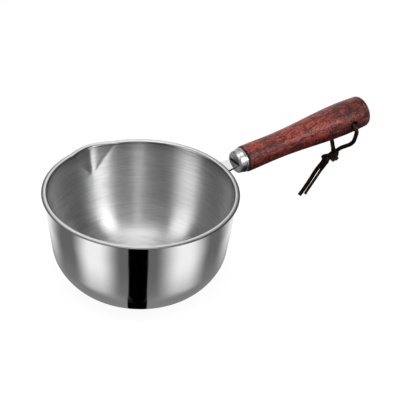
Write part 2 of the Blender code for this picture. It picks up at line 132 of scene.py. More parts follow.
def spin_round(bm, axis, steps):
    """Spin all that is in the mesh a full turn about an axis through the origin, and close it."""
    bmesh.ops.spin(
        bm,
        geom=bm.verts[:] + bm.edges[:],
        cent=(0, 0, 0),
        axis=axis,
        angle=2 * pi,
        steps=steps,
        use_merge=True,
    )
    bmesh.ops.remove_doubles(bm, verts=bm.verts, dist=WELD_DISTANCE)
    bmesh.ops.recalc_face_normals(bm, faces=bm.faces)


def next_row(bm, edges):
    """Extrude a row of edges. Gives the new row's vertices and its edges."""
    made = bmesh.ops.extrude_edge_only(bm, edges=edges)["geom"]
    fresh = [part for part in made if isinstance(part, bmesh.types.BMVert)]
    row = [
        part for part in made
        if isinstance(part, bmesh.types.BMEdge) and all(v in fresh for v in part.verts)
    ]
    return fresh, row


# %% From a mesh to a seated piece
SHARP_ANGLE = 35
SHARP_FOLD = 50


def shade(mesh, sharp_angle):
    """Smooth shading, with a sharp edge where faces meet at more than so many degrees."""
    mesh.shade_smooth()
    mesh.set_sharp_from_angle(angle=radians(sharp_angle))


def as_object(name, bm, sharp_angle=SHARP_ANGLE):
    """An object of its own from bmesh work, which ends here."""
    mesh = bpy.data.meshes.new(name)
    bm.to_mesh(mesh)
    bm.free()
    shade(mesh, sharp_angle)
    obj = bpy.data.objects.new(name, mesh)
    scene.collection.objects.link(obj)
    return obj


def settle(obj, sharp_angle=SHARP_ANGLE):
    """Apply the object's modifiers to its mesh."""
    shape = obj.evaluated_get(bpy.context.evaluated_depsgraph_get())
    mesh = bpy.data.meshes.new_from_object(shape)
    obj.modifiers.clear()
    obj.data = mesh
    shade(mesh, sharp_angle)


def seat(obj, body, slot, *nodes):
    """Put a finished piece on its body, in place of these nodes."""
    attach(obj, body)
    if nodes:
        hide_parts(*nodes)
    print(obj.name, "has", len(obj.data.polygons), "faces")


# %% [markdown]
# ## The thong
# A leather lace goes through the cross hole of the handle, both legs meet in a knot, and two cut
# ends hang from it. A lace is cut from hide, so its section is a flat bar with soft corners. It
# could be a curve with a bevel, but the flat side has to turn along the way. So a ring of points is
# extruded from station to station, and each ring is set square to the route.

# %% The handle's own axis
GRIP_LENGTH = 0.1220
HANDLE_TILT = radians(3.84)
HANDLE_FRONT = Vector((0.0968, 0, 0.0733))
CROSS_HOLE_FROM_END = 0.0198

to_handle = Matrix.Translation(HANDLE_FRONT) @ Matrix.Rotation(-HANDLE_TILT, 4, "Y")


def handle_point(along, side=0.0):
    """A point of the handle's middle plane, from the front of the wood."""
    return to_handle @ Vector((along, side, 0.0))


hole_along = GRIP_LENGTH - CROSS_HOLE_FROM_END
hole_centre = handle_point(hole_along)
print("cross hole at", [round(v, 4) for v in hole_centre])

# %% The lace's routes, measured from the centre of the cross hole
LACE_WIDTH = 0.0035
LACE_THICKNESS = 0.0023
MOUTH_BEND = 0.0060
MOUTH_STRAIGHT = 0.0112

FRONT_LEG = [
    (-0.0055, -0.0014, -0.0294),
    (-0.0034, -0.0040, -0.0260),
    (-0.0015, -0.0070, -0.0234),
    (0.0000, -0.0106, -0.0203),
    (0.0003, -0.0136, -0.0167),
    (-0.0001, -0.0157, -0.0128),
]
BACK_LEG = [
    (-0.0004, 0.0164, -0.0112),
    (-0.0009, 0.0144, -0.0180),
    (-0.0018, 0.0104, -0.0247),
    (-0.0042, 0.0056, -0.0280),
    (-0.0059, 0.0024, -0.0295),
]
LONG_TAIL = [
    (-0.0165, 0.0017, -0.0385),
    (-0.0228, 0.0020, -0.0447),
    (-0.0289, 0.0019, -0.0526),
    (-0.0356, 0.0016, -0.0601),
    (-0.0393, 0.0015, -0.0639),
]
SHORT_TAIL = [
    (-0.0158, -0.0014, -0.0378),
    (-0.0206, -0.0014, -0.0436),
    (-0.0271, -0.0016, -0.0513),
    (-0.0338, -0.0019, -0.0588),
    (-0.0362, -0.0021, -0.0618),
]


def mouth_bend(side):
    """The bend out of the cross hole, from the hole to the leg."""
    points = []
    for turn in (0, 30, 60, 90):
        a = radians(turn)
        y = MOUTH_STRAIGHT + MOUTH_BEND * sin(a)
        points.append((0.0, side * y, MOUTH_BEND * (cos(a) - 1)))
    return points


LOOP = FRONT_LEG + mouth_bend(-1)[::-1] + [(0.0, 0.0, 0.0)] + mouth_bend(1) + BACK_LEG
print("the loop's route has", len(LOOP), "points")

# %% A smooth curve through a route's points
CURVE_STEPS = 16


def smooth_curve(points):
    """A fine curve that passes through every given point."""
    points = [Vector(p) for p in points]
    ends = [2 * points[0] - points[1]] + points + [2 * points[-1] - points[-2]]
    fine = []
    for a, b, c, d in zip(ends, ends[1:], ends[2:], ends[3:]):
        for k in range(CURVE_STEPS):
            t = k / CURVE_STEPS
            square = (2 * a - 5 * b + 4 * c - d) * t ** 2
            cube = (3 * b - a - 3 * c + d) * t ** 3
            fine.append(0.5 * (2 * b + (c - a) * t + square + cube))
    fine.append(points[-1])
    return fine


# %% Stations along a route
STATION = 0.0007


def even_run(fine):
    """Points at even distances along a fine curve, about one station apart."""
    lengths = [0.0]
    for first, second in zip(fine, fine[1:]):
        lengths.append(lengths[-1] + (second - first).length)
    count = max(2, round(lengths[-1] / STATION))
    even = []
    k = 0
    for i in range(count + 1):
        want = lengths[-1] * i / count
        while k < len(fine) - 2 and lengths[k + 1] < want:
            k += 1
        share = (want - lengths[k]) / (lengths[k + 1] - lengths[k])
        even.append(fine[k].lerp(fine[k + 1], share))
    return even


def route_of(points):
    """Stations in the world for points given from the hole's centre."""
    return [hole_centre + p for p in even_run(smooth_curve(points))]


def run_length(points):
    return sum((second - first).length for first, second in zip(points, points[1:]))


print("the loop's lace is", round(run_length(route_of(LOOP)), 4), "m long")

# %% The section of the lace
SECTION_STEPS = 20
SECTION_SQUARENESS = 0.62


def section_ring(bm):
    """The lace's section, half a unit to each side: a circle with its corners pushed out."""
    made = bmesh.ops.create_circle(bm, cap_ends=False, segments=SECTION_STEPS, radius=1.0)
    for vert in made["verts"]:
        for k in (0, 1):
            size = abs(vert.co[k]) ** SECTION_SQUARENESS
            vert.co[k] = size / 2 if vert.co[k] > 0 else -size / 2
    return made["verts"]


def ring_edges(ring):
    """The edges that join a ring's own vertices."""
    return list({e for v in ring for e in v.link_edges if e.other_vert(v) in ring})


def flat_side(turns, share):
    """The direction of the lace's wide side at a share of its length."""
    for (a, first), (b, second) in zip(turns, turns[1:]):
        if share <= b:
            return Vector(first).lerp(Vector(second), (share - a) / (b - a))
    return Vector(turns[-1][1])


# %% A flat lace along a route
def lace_tube(bm, stations, turns, width=LACE_WIDTH, thickness=LACE_THICKNESS):
    """Extrude the section along the stations. turns lists shares and wide directions."""
    ring = section_ring(bm)
    shape = [vert.co.copy() for vert in ring]
    edges = ring_edges(ring)
    first_ring = ring
    last = len(stations) - 1
    for i, place in enumerate(stations):
        along = (stations[min(i + 1, last)] - stations[max(i - 1, 0)]).normalized()
        wide = flat_side(turns, i / last)
        wide = (wide - along * wide.dot(along)).normalized()
        deep = along.cross(wide)
        if i:
            fresh, edges = next_row(bm, edges)
            ring = [
                next(e.other_vert(v) for e in v.link_edges if e.other_vert(v) in fresh)
                for v in ring
            ]
        for vert, flat in zip(ring, shape):
            vert.co = place + wide * (flat.x * width) + deep * (flat.y * thickness)
    for end in (first_ring, ring):
        bmesh.ops.holes_fill(bm, edges=ring_edges(end), sides=0)
    bmesh.ops.recalc_face_normals(bm, faces=bm.faces)


def make_lace(name, points, turns, before=(), after=()):
    """A lace along points, run on into the knot so that its cut end doesn't show there."""
    bm = bmesh.new()
    lace_tube(bm, route_of([*before, *points, *after]), turns)
    return as_object(name, bm, SHARP_FOLD), route_of(points)


# %% The loop and the two cut ends
FACING_DOWN = tuple(camera_back * 0.77 + level_up * 0.64)
FACING_OUT = tuple(camera_back * 0.6 - level_right * 0.8)
TO_THE_LEFT = tuple(-level_right)
TO_THE_BOWL = (-1, 0, 0)
LOOP_TURNS = [
    (0.0, FACING_DOWN),
    (0.18, FACING_DOWN),
    (0.27, FACING_OUT),
    (0.33, TO_THE_LEFT),
    (0.42, TO_THE_BOWL),
    (0.60, TO_THE_BOWL),
    (0.75, TO_THE_LEFT),
    (1.0, TO_THE_LEFT),
]
LOOP_START_IN_KNOT = (-0.0064, -0.0006, -0.0318)
LOOP_END_IN_KNOT = (-0.0068, 0.0010, -0.0319)
TAIL_TWIST_ENDS = 0.35


def make_tail(name, points, first_turn, last_turn, in_knot):
    """A cut end, whose flat side twists from one angle to another, in degrees, as it sets off."""
    first, last = [
        level_right * cos(radians(turn)) + camera_back * sin(radians(turn))
        for turn in (first_turn, last_turn)
    ]
    turns = [(0.0, first), (TAIL_TWIST_ENDS, last), (1.0, last)]
    return make_lace(name, points, turns, before=[in_knot])


loop, loop_path = make_lace(
    "thong_loop_lace", LOOP, LOOP_TURNS, before=[LOOP_START_IN_KNOT], after=[LOOP_END_IN_KNOT]
)
long_tail, long_path = make_tail(
    "thong_long_end", LONG_TAIL, 10, 45, (-0.0148, 0.0014, -0.0362)
)
short_tail, short_path = make_tail(
    "thong_short_end", SHORT_TAIL, 30, 90, (-0.0142, -0.0004, -0.0357)
)
print("lengths", [round(run_length(path), 4) for path in (loop_path, long_path, short_path)])

# %% [markdown]
# ## The knot
# The two legs are tied together in one overhand knot. From outside it reads as two turns of the
# doubled lace across the knot's length, with a smaller turn where the ends come out. A true knot
# could be run as one long route, but at this size only its turns show. So each turn is a short
# coil of the same lace. The coils and the strands inside are melted together by a voxel remesh,
# which leaves the creases where strands press on each other.

# %% Coils of lace
KNOT_PLACE = Vector((-0.0069, 0.0, -0.0349))
KNOT_ALONG = Vector((-0.77, 0.0, -0.42)).normalized()
SMALL_PLACE = Vector((-0.0144, 0.0012, -0.0352))
SMALL_ALONG = Vector((-0.85, 0.2, -0.55)).normalized()
COIL_STEPS = 16
TUCK_START = 0.35
TUCK_RATE = 4


def coil(centre, axis, radius, start, turns, pitch):
    """Points of a coil round an axis, from the hole's centre. Both ends tuck inwards."""
    side = axis.orthogonal().normalized()
    other = axis.cross(side)
    count = round(abs(turns) * COIL_STEPS)
    points = []
    for i in range(count + 1):
        share = i / count
        a = 2 * pi * (start + turns * share)
        up_axis = pitch * turns * (share - 0.5)
        tuck = min(1.0, TUCK_START + TUCK_RATE * min(share, 1 - share))
        points.append(centre + axis * up_axis + radius * tuck * (cos(a) * side + sin(a) * other))
    return points


main_turn = coil(KNOT_PLACE, KNOT_ALONG, radius=0.0035, start=0.1, turns=2.1, pitch=0.0025)
small_turn = coil(SMALL_PLACE, SMALL_ALONG, radius=0.0026, start=0.4, turns=1.5, pitch=0.0020)
print("the knot's coils have", len(main_turn), "and", len(small_turn), "points")

# %% Lay the strands and melt them together
INTO_VIEW = tuple(camera_back)
CORE_WIDTH = 0.0046
CORE_THICKNESS = 0.0040
KNOT_VOXEL = 0.00022
KNOT_SHARP = 60


def add_strand(bm, points, wide, width=LACE_WIDTH, thickness=LACE_THICKNESS):
    """A strand whose wide side faces one way all along."""
    lace_tube(bm, route_of(points), [(0.0, wide), (1.0, wide)], width, thickness)


knot_bm = bmesh.new()
add_strand(knot_bm, main_turn, KNOT_ALONG)
add_strand(knot_bm, small_turn, SMALL_ALONG)
for y, start, end in (
    (-0.0012, FRONT_LEG[0], SHORT_TAIL[0]),
    (0.0014, BACK_LEG[-1], LONG_TAIL[0]),
):
    through_main = KNOT_PLACE + Vector((0.001, y, 0.001))
    through_small = SMALL_PLACE + Vector((0.002, y, 0))
    core = [start, through_main, through_small, end]
    add_strand(knot_bm, core, INTO_VIEW, CORE_WIDTH, CORE_THICKNESS)
knot = as_object("thong_tied_knot", knot_bm)
melt = knot.modifiers.new("melt", "REMESH")
melt.mode = "VOXEL"
melt.voxel_size = KNOT_VOXEL
melt.use_smooth_shade = True
relax = knot.modifiers.new("relax", "SMOOTH")
relax.factor = 0.5
relax.iterations = 3
settle(knot, KNOT_SHARP)

# %% Seat the lace and the knot
for obj, path, node, end in (
    (loop, loop_path, "thong_loop", "knot"),
    (long_tail, long_path, "thong_tail_long", "bare"),
    (short_tail, short_path, "thong_tail_short", "bare"),
):
    seat(obj, "thong", "dark_leather", node)
    tuple(path[0])
    run_length(path)
    [tuple(p) for p in path]
    [knot] if node == "thong_loop" else []
seat(knot, "thong", "dark_leather", "thong_knot")

# %% [markdown]
# ## The bowl
# The bowl is one disc of steel, pressed to shape and turned out at the rim. Its outline runs from
# the middle of the base, round a full corner, up a leaning wall and over the rim, and back down the
# inside one sheet thickness away. A Solidify modifier could give the thickness, but the rim's edge
# has a shape of its own. So the whole outline is laid out and spun about Z, which closes the bowl.

# %% Bowl sizes
bowl_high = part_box("pot_body")[1]
POT_HEIGHT = bowl_high.z
RIM_RADIUS = bowl_high.x
RIM_WIDTH = 0.0035
SHEET = 0.0010
WALL_TOP_RADIUS = RIM_RADIUS - RIM_WIDTH
WALL_LEAN = radians(7.4)
UPRIGHT_BAND = 0.0169
KNEE_SOFTNESS = 0.0050
CORNER_HEIGHT = 0.0276
CORNER_FULLNESS = 0.504
CORNER_STEPS = 28
BASE_RADIUS = 0.0440
RIM_BEND = 0.0008
RIM_EDGE = 0.00020
RIM_SLOPE = 0.00040
RIM_ROOT_HEIGHT = POT_HEIGHT - SHEET - RIM_BEND
WALL_ROWS = 26
BOWL_STEPS = 192
print("bowl", round(2 * RIM_RADIUS, 4), "m over the rim,", round(POT_HEIGHT, 4), "m high")

# %% The outside of the bowl


def wall_radius(z):
    """Outer radius of the wall: upright at the top, leaning below, with a soft knee between."""
    below = POT_HEIGHT - UPRIGHT_BAND - z
    soft = (below + sqrt(below ** 2 + KNEE_SOFTNESS ** 2)) / 2
    return WALL_TOP_RADIUS - soft * tan(WALL_LEAN)


def corner_arc(start, pull, end):
    """Points of a conic from start to end, drawn towards the point pull."""
    points = []
    for i in range(CORNER_STEPS + 1):
        t = i / CORNER_STEPS
        a, b, c = (1 - t) ** 2, 2 * CORNER_FULLNESS * t * (1 - t), t ** 2
        whole = a + b + c
        points.append(tuple((a * p + b * q + c * r) / whole for p, q, r in zip(start, pull, end)))
    return points


def outer_outline():
    """Outside of the bowl as (radius, height), from the base to the rim's underside."""
    corner_radius = wall_radius(CORNER_HEIGHT)
    ground_radius = corner_radius - CORNER_HEIGHT * tan(WALL_LEAN)
    points = [(BASE_RADIUS * share, 0.0) for share in (0.25, 0.5, 0.75)]
    points += corner_arc((BASE_RADIUS, 0.0), (ground_radius, 0.0), (corner_radius, CORNER_HEIGHT))
    for i in range(1, WALL_ROWS + 1):
        z = CORNER_HEIGHT + (RIM_ROOT_HEIGHT - CORNER_HEIGHT) * i / WALL_ROWS
        points.append((wall_radius(z), z))
    return points


outside = outer_outline()
print("the outside has", len(outside), "points, from the base to the rim's underside")

# %% The inside and the rim
RIM_BEND_STEPS = 6
RIM_EDGE_STEPS = 4
EDGE_ROLL = 70
CROWN_ROWS = 8
INNER_BEND_STEPS = 10


def offset_inward(points, distance):
    """The outline moved by distance to the inside of the bowl."""
    moved = []
    for i, (radius, z) in enumerate(points):
        before = points[max(i - 1, 0)]
        after = points[min(i + 1, len(points) - 1)]
        run, rise = after[0] - before[0], after[1] - before[1]
        size = hypot(run, rise)
        moved.append((radius - distance * rise / size, z + distance * run / size))
    return moved


def rim_outline(root):
    """The turned-out rim from the wall's outside, round the edge and back to the inside."""
    low_edge = (RIM_RADIUS - RIM_EDGE, POT_HEIGHT - SHEET + RIM_EDGE)
    high_edge = (RIM_RADIUS - RIM_EDGE, POT_HEIGHT - RIM_SLOPE - RIM_EDGE)
    crown_start = root + RIM_BEND
    inner_bend = RIM_BEND + SHEET
    under = arc((crown_start, RIM_ROOT_HEIGHT), RIM_BEND, 180, 90, RIM_BEND_STEPS)[1:]
    edge = arc(low_edge, RIM_EDGE, -90, 0, RIM_EDGE_STEPS)
    edge += arc(high_edge, RIM_EDGE, 0, EDGE_ROLL, RIM_EDGE_STEPS)
    crown_end = edge[-1][0]
    crown = []
    for i in range(1, CROWN_ROWS):
        share = 1 - i / CROWN_ROWS
        drop = RIM_SLOPE * share ** 2
        crown.append((crown_start + (crown_end - crown_start) * share, POT_HEIGHT - drop))
    bend_centre = (crown_start, POT_HEIGHT - inner_bend)
    over = arc(bend_centre, inner_bend, 90, 180, INNER_BEND_STEPS)[:-1]
    return under + edge + crown + over


inside = offset_inward(outside, SHEET)
rim = rim_outline(outside[-1][0])
bowl_outline = [(0.0, 0.0)] + outside + rim + inside[::-1] + [(0.0, SHEET)]
print("the whole outline has", len(bowl_outline), "points")

# %% [markdown]
# ## The spout
# The spout is pressed into the finished rim: a V fold that is deepest at the rim and runs out on
# the wall. Cutting it in would leave ragged faces. So the columns of the spin are drawn together
# along the V instead, and then pushed outwards, which is what the press does to the sheet.

# %% The spout's fold
SPOUT_HEIGHT = 0.0230
SPOUT_DEPTH = 0.0027
SPOUT_HALF_ANGLE = radians(15.5)
SPOUT_TIP_HALF_ANGLE = radians(1.0)
SPOUT_REACH = radians(13.5)
SPOUT_SPREAD = radians(36)
PARTING_HEIGHT = 0.0240
PARTING_POWER = 0.7
FOLD_SOFTNESS = 0.22
SIDE_SOFTNESS = 0.05


def fold_depth(share):
    """How far the press pushes at a share of the half width: 1 in the fold, 0 past the side."""
    x = 1 - sqrt(share ** 2 + FOLD_SOFTNESS ** 2)
    return (x + sqrt(x ** 2 + SIDE_SOFTNESS ** 2)) / 2


def spout_half_angle(climb, below):
    """Half the V's angle: it opens with the climb. Below the tip the columns part again."""
    if climb > 0:
        return SPOUT_TIP_HALF_ANGLE + (SPOUT_HALF_ANGLE - SPOUT_TIP_HALF_ANGLE) * climb
    parting = below ** PARTING_POWER
    return SPOUT_TIP_HALF_ANGLE + (SPOUT_REACH - SPOUT_TIP_HALF_ANGLE) * parting


def drawn_angle(away, half):
    """Where a column goes that stood this far from the fold."""
    share = away / SPOUT_REACH
    if share <= 1:
        return half * share
    return half + (SPOUT_SPREAD - half) * (away - SPOUT_REACH) / (SPOUT_SPREAD - SPOUT_REACH)


print("the spout opens to", round(degrees(2 * spout_half_angle(1.0, 0.0))), "degrees at the rim")

# %% Press the spout
BEAD_HEIGHT = 0.00035
BEAD_WIDTH = 0.12
BEAD_RISE = 3


def press_spout(bm):
    """Draw the columns to the V and push them out, with a low bead along each side."""
    tip = POT_HEIGHT - SPOUT_HEIGHT
    for vert in bm.verts:
        radius = hypot(vert.co.x, vert.co.y)
        if vert.co.z < tip - PARTING_HEIGHT:
            continue
        away = acos(max(-1.0, min(1.0, vert.co.y / radius)))
        if away >= SPOUT_SPREAD:
            continue
        climb = min(1.0, max(0.0, (vert.co.z - tip) / SPOUT_HEIGHT))
        half = spout_half_angle(climb, max(0.0, (tip - vert.co.z) / PARTING_HEIGHT))
        share = away / SPOUT_REACH
        radius += SPOUT_DEPTH * climb * fold_depth(share) / fold_depth(0)
        bead = exp(-((share - 1) / BEAD_WIDTH) ** 2)
        radius -= BEAD_HEIGHT * min(1.0, BEAD_RISE * climb) * bead
        side = 1.0 if vert.co.x < 0 else -1.0
        angle = pi / 2 + side * drawn_angle(away, half)
        vert.co.x = radius * cos(angle)
        vert.co.y = radius * sin(angle)


# %% Spin the bowl and mark its finishes
MIRROR, BRUSHED, RIM, SHADED_EDGE = range(4)
RIM_TOLERANCE = 1e-5
EDGE_FACES_OUT = 0.6
BASE_ZONE = CORNER_HEIGHT * 0.2


def bowl_finish(face):
    """Which of the bowl's four finishes a face takes. The base is told by up and down."""
    middle = face.calc_center_median()
    outward = face.normal.x * middle.x + face.normal.y * middle.y
    if middle.z > RIM_ROOT_HEIGHT - RIM_TOLERANCE:
        # The rim's outer edge takes a near black finish, which is painted shade.
        return SHADED_EDGE if outward > EDGE_FACES_OUT * hypot(middle.x, middle.y) else RIM
    if middle.z > BASE_ZONE:
        return MIRROR if outward > 0 else BRUSHED
    return MIRROR if face.normal.z < 0 else BRUSHED


bowl_bm = bmesh.new()
chain(bowl_bm, [(0.0, radius, z) for radius, z in bowl_outline])
spin_round(bowl_bm, Z_AXIS, BOWL_STEPS)
press_spout(bowl_bm)
for face in bowl_bm.faces:
    face.material_index = bowl_finish(face)
bowl = as_object("pot_bowl", bowl_bm, SHARP_FOLD)
seat(bowl, "pot", "polished_steel", "pot_body")

# %% [markdown]
# ## The bracket
# The bracket is a pressed strip: a pad that hugs the wall, a bend under the rim and a tab that
# tapers to the ferrule. It could be bent from a box with a lattice, but the pad has to follow the
# wall's own curve. So it is laid out as rows of points over its middle surface, each row extruded
# from the one before. Solidify gives it the sheet's thickness and Bevel breaks its edges.

# %% Bracket sizes
SEAT_GAP = 0.0003
BRACKET_SHEET = 0.0015
PAD_WIDTH = 0.0300
PAD_HEIGHT = 0.0200
PAD_FOOT_SHARE = 0.32
PAD_FOOT_NARROWING = 0.34
PAD_NECK_SHARE = 0.5
BRACKET_BEND = 0.0022
TAB_ROOT_WIDTH = 0.0150
TAB_FACE_WIDTH = 0.0113
FERRULE_FACE = -0.0086
TAB_SHOULDER = -0.0062
BRACKET_COLUMNS = 16
PAD_ROWS = 20
BEND_ROWS = 12
TAB_ROWS = 6

out_of_wall = SEAT_GAP + BRACKET_SHEET / 2
bend_radius = BRACKET_BEND + BRACKET_SHEET / 2
tab_x = WALL_TOP_RADIUS + out_of_wall + bend_radius * (1 - sin(HANDLE_TILT))
tab_start = (tab_x - HANDLE_FRONT.x) / cos(HANDLE_TILT)
pad_top = handle_point(tab_start).z - bend_radius * cos(HANDLE_TILT)
print("the pad ends", round(POT_HEIGHT - pad_top, 4), "m below the rim")

# %% Rows of the bracket, from the pad's foot to the ferrule


def places_across(half_width):
    return [half_width * (2 * j / BRACKET_COLUMNS - 1) for j in range(BRACKET_COLUMNS + 1)]


def pad_half_width(share):
    """Half width of the pad at a share of its height: round feet and a drawn-in neck."""
    foot = max(0.0, 1 - share / PAD_FOOT_SHARE)
    neck = min(1.0, max(0.0, (share - PAD_NECK_SHARE) / (1 - PAD_NECK_SHARE)))
    neck = neck * neck * (3 - 2 * neck)
    width = PAD_WIDTH * (1 - PAD_FOOT_NARROWING * foot ** 2)
    return (width + (TAB_ROOT_WIDTH - width) * neck) / 2


def pad_row(share):
    """A row on the pad, which follows the wall's curve."""
    z = pad_top - PAD_HEIGHT * (1 - share)
    sides = places_across(pad_half_width(share))
    return [(sqrt(wall_radius(z) ** 2 - y ** 2) + out_of_wall, y, z) for y in sides]


def bend_row(share):
    """A row in the bend, where the wall's curve runs out into the straight tab."""
    turn = (pi / 2 - HANDLE_TILT) * share
    x = out_of_wall + bend_radius * (1 - cos(turn))
    z = pad_top + bend_radius * sin(turn)
    row = []
    for y in places_across(TAB_ROOT_WIDTH / 2):
        root = sqrt(wall_radius(pad_top) ** 2 - y ** 2)
        row.append((x + root + share * (WALL_TOP_RADIUS - root), y, z))
    return row


def tab_row(share):
    """A row on the tab, which tapers towards the ferrule's face."""
    half = (TAB_ROOT_WIDTH + share * (TAB_FACE_WIDTH - TAB_ROOT_WIDTH)) / 2
    along = tab_start + share * (FERRULE_FACE - tab_start)
    return [handle_point(along, y) for y in places_across(half)]


# %% Lay the rows out
rows = [pad_row(i / PAD_ROWS) for i in range(PAD_ROWS + 1)]
rows += [bend_row(i / BEND_ROWS) for i in range(1, BEND_ROWS + 1)]
rows += [tab_row(i / TAB_ROWS) for i in range(1, TAB_ROWS + 1)]
rows.append([handle_point(TAB_SHOULDER, y) for y in places_across(TAB_FACE_WIDTH / 2)])
print("the bracket has", len(rows), "rows of", len(rows[0]), "points")

# %% Bracket
BRACKET_EDGE = 0.00025
BRACKET_SHARP = 40

bracket_bm = bmesh.new()
chain(bracket_bm, rows[0])
edges = bracket_bm.edges[:]
for row in rows[1:]:
    fresh, edges = next_row(bracket_bm, edges)
    for vert, place in zip(sorted(fresh, key=lambda v: v.co.y), row):
        vert.co = place
bmesh.ops.recalc_face_normals(bracket_bm, faces=bracket_bm.faces)
bracket = as_object("bracket_strip", bracket_bm)
sheet = bracket.modifiers.new("sheet", "SOLIDIFY")
sheet.thickness = BRACKET_SHEET
sheet.offset = 0
sheet.use_even_offset = True
edge = bracket.modifiers.new("edge", "BEVEL")
edge.width = BRACKET_EDGE
edge.segments = 2
edge.limit_method = "ANGLE"
edge.angle_limit = radians(SHARP_FOLD)
settle(bracket, BRACKET_SHARP)
seat(bracket, "pot", "bracket_steel", "handle_bracket")

# %% [markdown]
# ## The ferrule and the washer
# The ferrule is a turned and polished cap on the front of the handle. Its flat face has the slot
# that the tab goes through. A thin fibre washer sits between it and the wood. Both could start as
# cylinders, but an outline shows every step and groove in one list, so both are turned from one.
# The slot is cut with a Boolean, because it crosses the turned faces.

# %% Turn a piece and cut it
TURN_STEPS = 96
BRACE_MARGIN = 0.00012
SHORTEST_BRACED = 4 * BRACE_MARGIN


def braced(points):
    """The outline with extra points beside its corners, so that flats are shaded flat."""
    result = [points[0]]
    for a, b in zip(points, points[1:]):
        length = hypot(b[0] - a[0], b[1] - a[1])
        if length > SHORTEST_BRACED:
            for share in (BRACE_MARGIN / length, 1 - BRACE_MARGIN / length):
                result.append((a[0] + (b[0] - a[0]) * share, a[1] + (b[1] - a[1]) * share))
        result.append(b)
    return result


def turned(name, points, closed=False):
    """A piece turned about the handle's axis from (along, radius) points."""
    bm = bmesh.new()
    verts = chain(bm, [(along, 0.0, radius) for along, radius in points])
    if closed:
        bm.edges.new((verts[-1], verts[0]))
    spin_round(bm, X_AXIS, TURN_STEPS)
    bmesh.ops.transform(bm, matrix=to_handle, verts=bm.verts)
    return as_object(name, bm)


def cut(obj, cutter_bm):
    """Take a cutter's shape out of the object, for good."""
    cutter = as_object(obj.name + "_cutter", cutter_bm)
    cutting = obj.modifiers.new("cut", "BOOLEAN")
    cutting.operation = "DIFFERENCE"
    cutting.solver = "EXACT"
    cutting.object = cutter
    settle(obj)
    bpy.data.objects.remove(cutter)


# %% Ferrule
FERRULE_BACK = -0.0014
FERRULE_NOSE = [(0.0, 0.0076), (0.00035, 0.0084), (0.0009, 0.0089), (0.0017, 0.0091)]
FERRULE_SHOULDER_RADIUS = 0.0093
FERRULE_SHOULDER_LENGTH = 0.0034
FERRULE_REAR_RADIUS = 0.0100
FERRULE_RING_LENGTH = 0.0016
FERRULE_GROOVE = 0.0003
FERRULE_WALL = 0.0012
FERRULE_BORE = 0.0069
SPIGOT_RADIUS = 0.0066
SPIGOT_END = 0.0026

shoulder = FERRULE_FACE + FERRULE_SHOULDER_LENGTH
ring_front = FERRULE_BACK - FERRULE_RING_LENGTH
spigot_bore = SPIGOT_RADIUS - FERRULE_WALL
ferrule_outline = [(FERRULE_FACE, 0.0)]
ferrule_outline += [(FERRULE_FACE + back, radius) for back, radius in FERRULE_NOSE]
ferrule_outline += [
    (shoulder, FERRULE_SHOULDER_RADIUS),
    (ring_front - FERRULE_GROOVE, FERRULE_SHOULDER_RADIUS + FERRULE_GROOVE),
    (ring_front, FERRULE_SHOULDER_RADIUS),
    (ring_front + FERRULE_GROOVE, FERRULE_REAR_RADIUS),
    (FERRULE_BACK - FERRULE_GROOVE / 2, FERRULE_REAR_RADIUS),
    (FERRULE_BACK, FERRULE_REAR_RADIUS - FERRULE_GROOVE / 2),
    (FERRULE_BACK, SPIGOT_RADIUS),
    (SPIGOT_END, SPIGOT_RADIUS),
    (SPIGOT_END, spigot_bore),
    (FERRULE_BACK - FERRULE_WALL, spigot_bore),
    (FERRULE_BACK - FERRULE_WALL, FERRULE_BORE),
    (FERRULE_FACE + FERRULE_WALL, FERRULE_BORE),
    (FERRULE_FACE + FERRULE_WALL, 0.0),
]
ferrule = turned("ferrule_cap", braced(ferrule_outline))
print("the ferrule is", round(SPIGOT_END - FERRULE_FACE, 4), "m long with its spigot")

# %% Cut the ferrule's slot
SLOT_CLEARANCE = 0.0005
SLOT_HEADROOM = 0.0012

slot_low = -BRACKET_SHEET / 2 - SLOT_CLEARANCE
slot_high = BRACKET_SHEET / 2 + SLOT_HEADROOM
slot_size = (4 * FERRULE_WALL, TAB_FACE_WIDTH + 2 * SLOT_CLEARANCE, slot_high - slot_low)
slot_middle = Matrix.Translation((FERRULE_FACE, 0, (slot_low + slot_high) / 2))
slot_place = to_handle @ slot_middle @ Matrix.Diagonal((*slot_size, 1))
slot_bm = bmesh.new()
bmesh.ops.create_cube(slot_bm, size=1.0, matrix=slot_place)
cut(ferrule, slot_bm)
seat(ferrule, "pot", "ferrule_steel", "ferrule")

# %% Washer
WASHER_FRONT = -0.0011
WASHER_BACK = -0.0003
WASHER_RADIUS = 0.0101

spigot_hole = SPIGOT_RADIUS + SEAT_GAP
washer_outline = [
    (WASHER_FRONT, spigot_hole),
    (WASHER_FRONT, WASHER_RADIUS),
    (WASHER_BACK, WASHER_RADIUS),
    (WASHER_BACK, spigot_hole),
]
washer = turned("ferrule_washer", washer_outline, closed=True)
seat(washer, "pot", "black_fibre", "fibre_washer")

# %% [markdown]
# ## The wooden grip
# The grip is turned on a lathe: slim behind the ferrule, swelling to a belly, with a rounded end.
# The cross hole for the lace is drilled through the belly, and its mouths are eased. A subdivided
# cylinder would do for the swell, but the outline keeps each station's radius as a number. The
# drill is an outline too, as wide at its mouths as the eased edge, and a Boolean takes it out.

# %% Turn the grip
GRIP_STATIONS = [(0.0, 0.0107), (0.0290, 0.0104), (0.1010, 0.0136), (GRIP_LENGTH, 0.0130)]
GRIP_ROWS = 70
GRIP_FRONT_ROUNDING = 0.0006
GRIP_FRONT_STEPS = 4
GRIP_END_ROUNDING = 0.0028
GRIP_END_STEPS = 10
GRIP_END_CROWN = 0.0012
GRIP_END_RINGS = (0.85, 0.7, 0.5, 0.3, 0.15, 0.0)
SPIGOT_POCKET = 0.0040


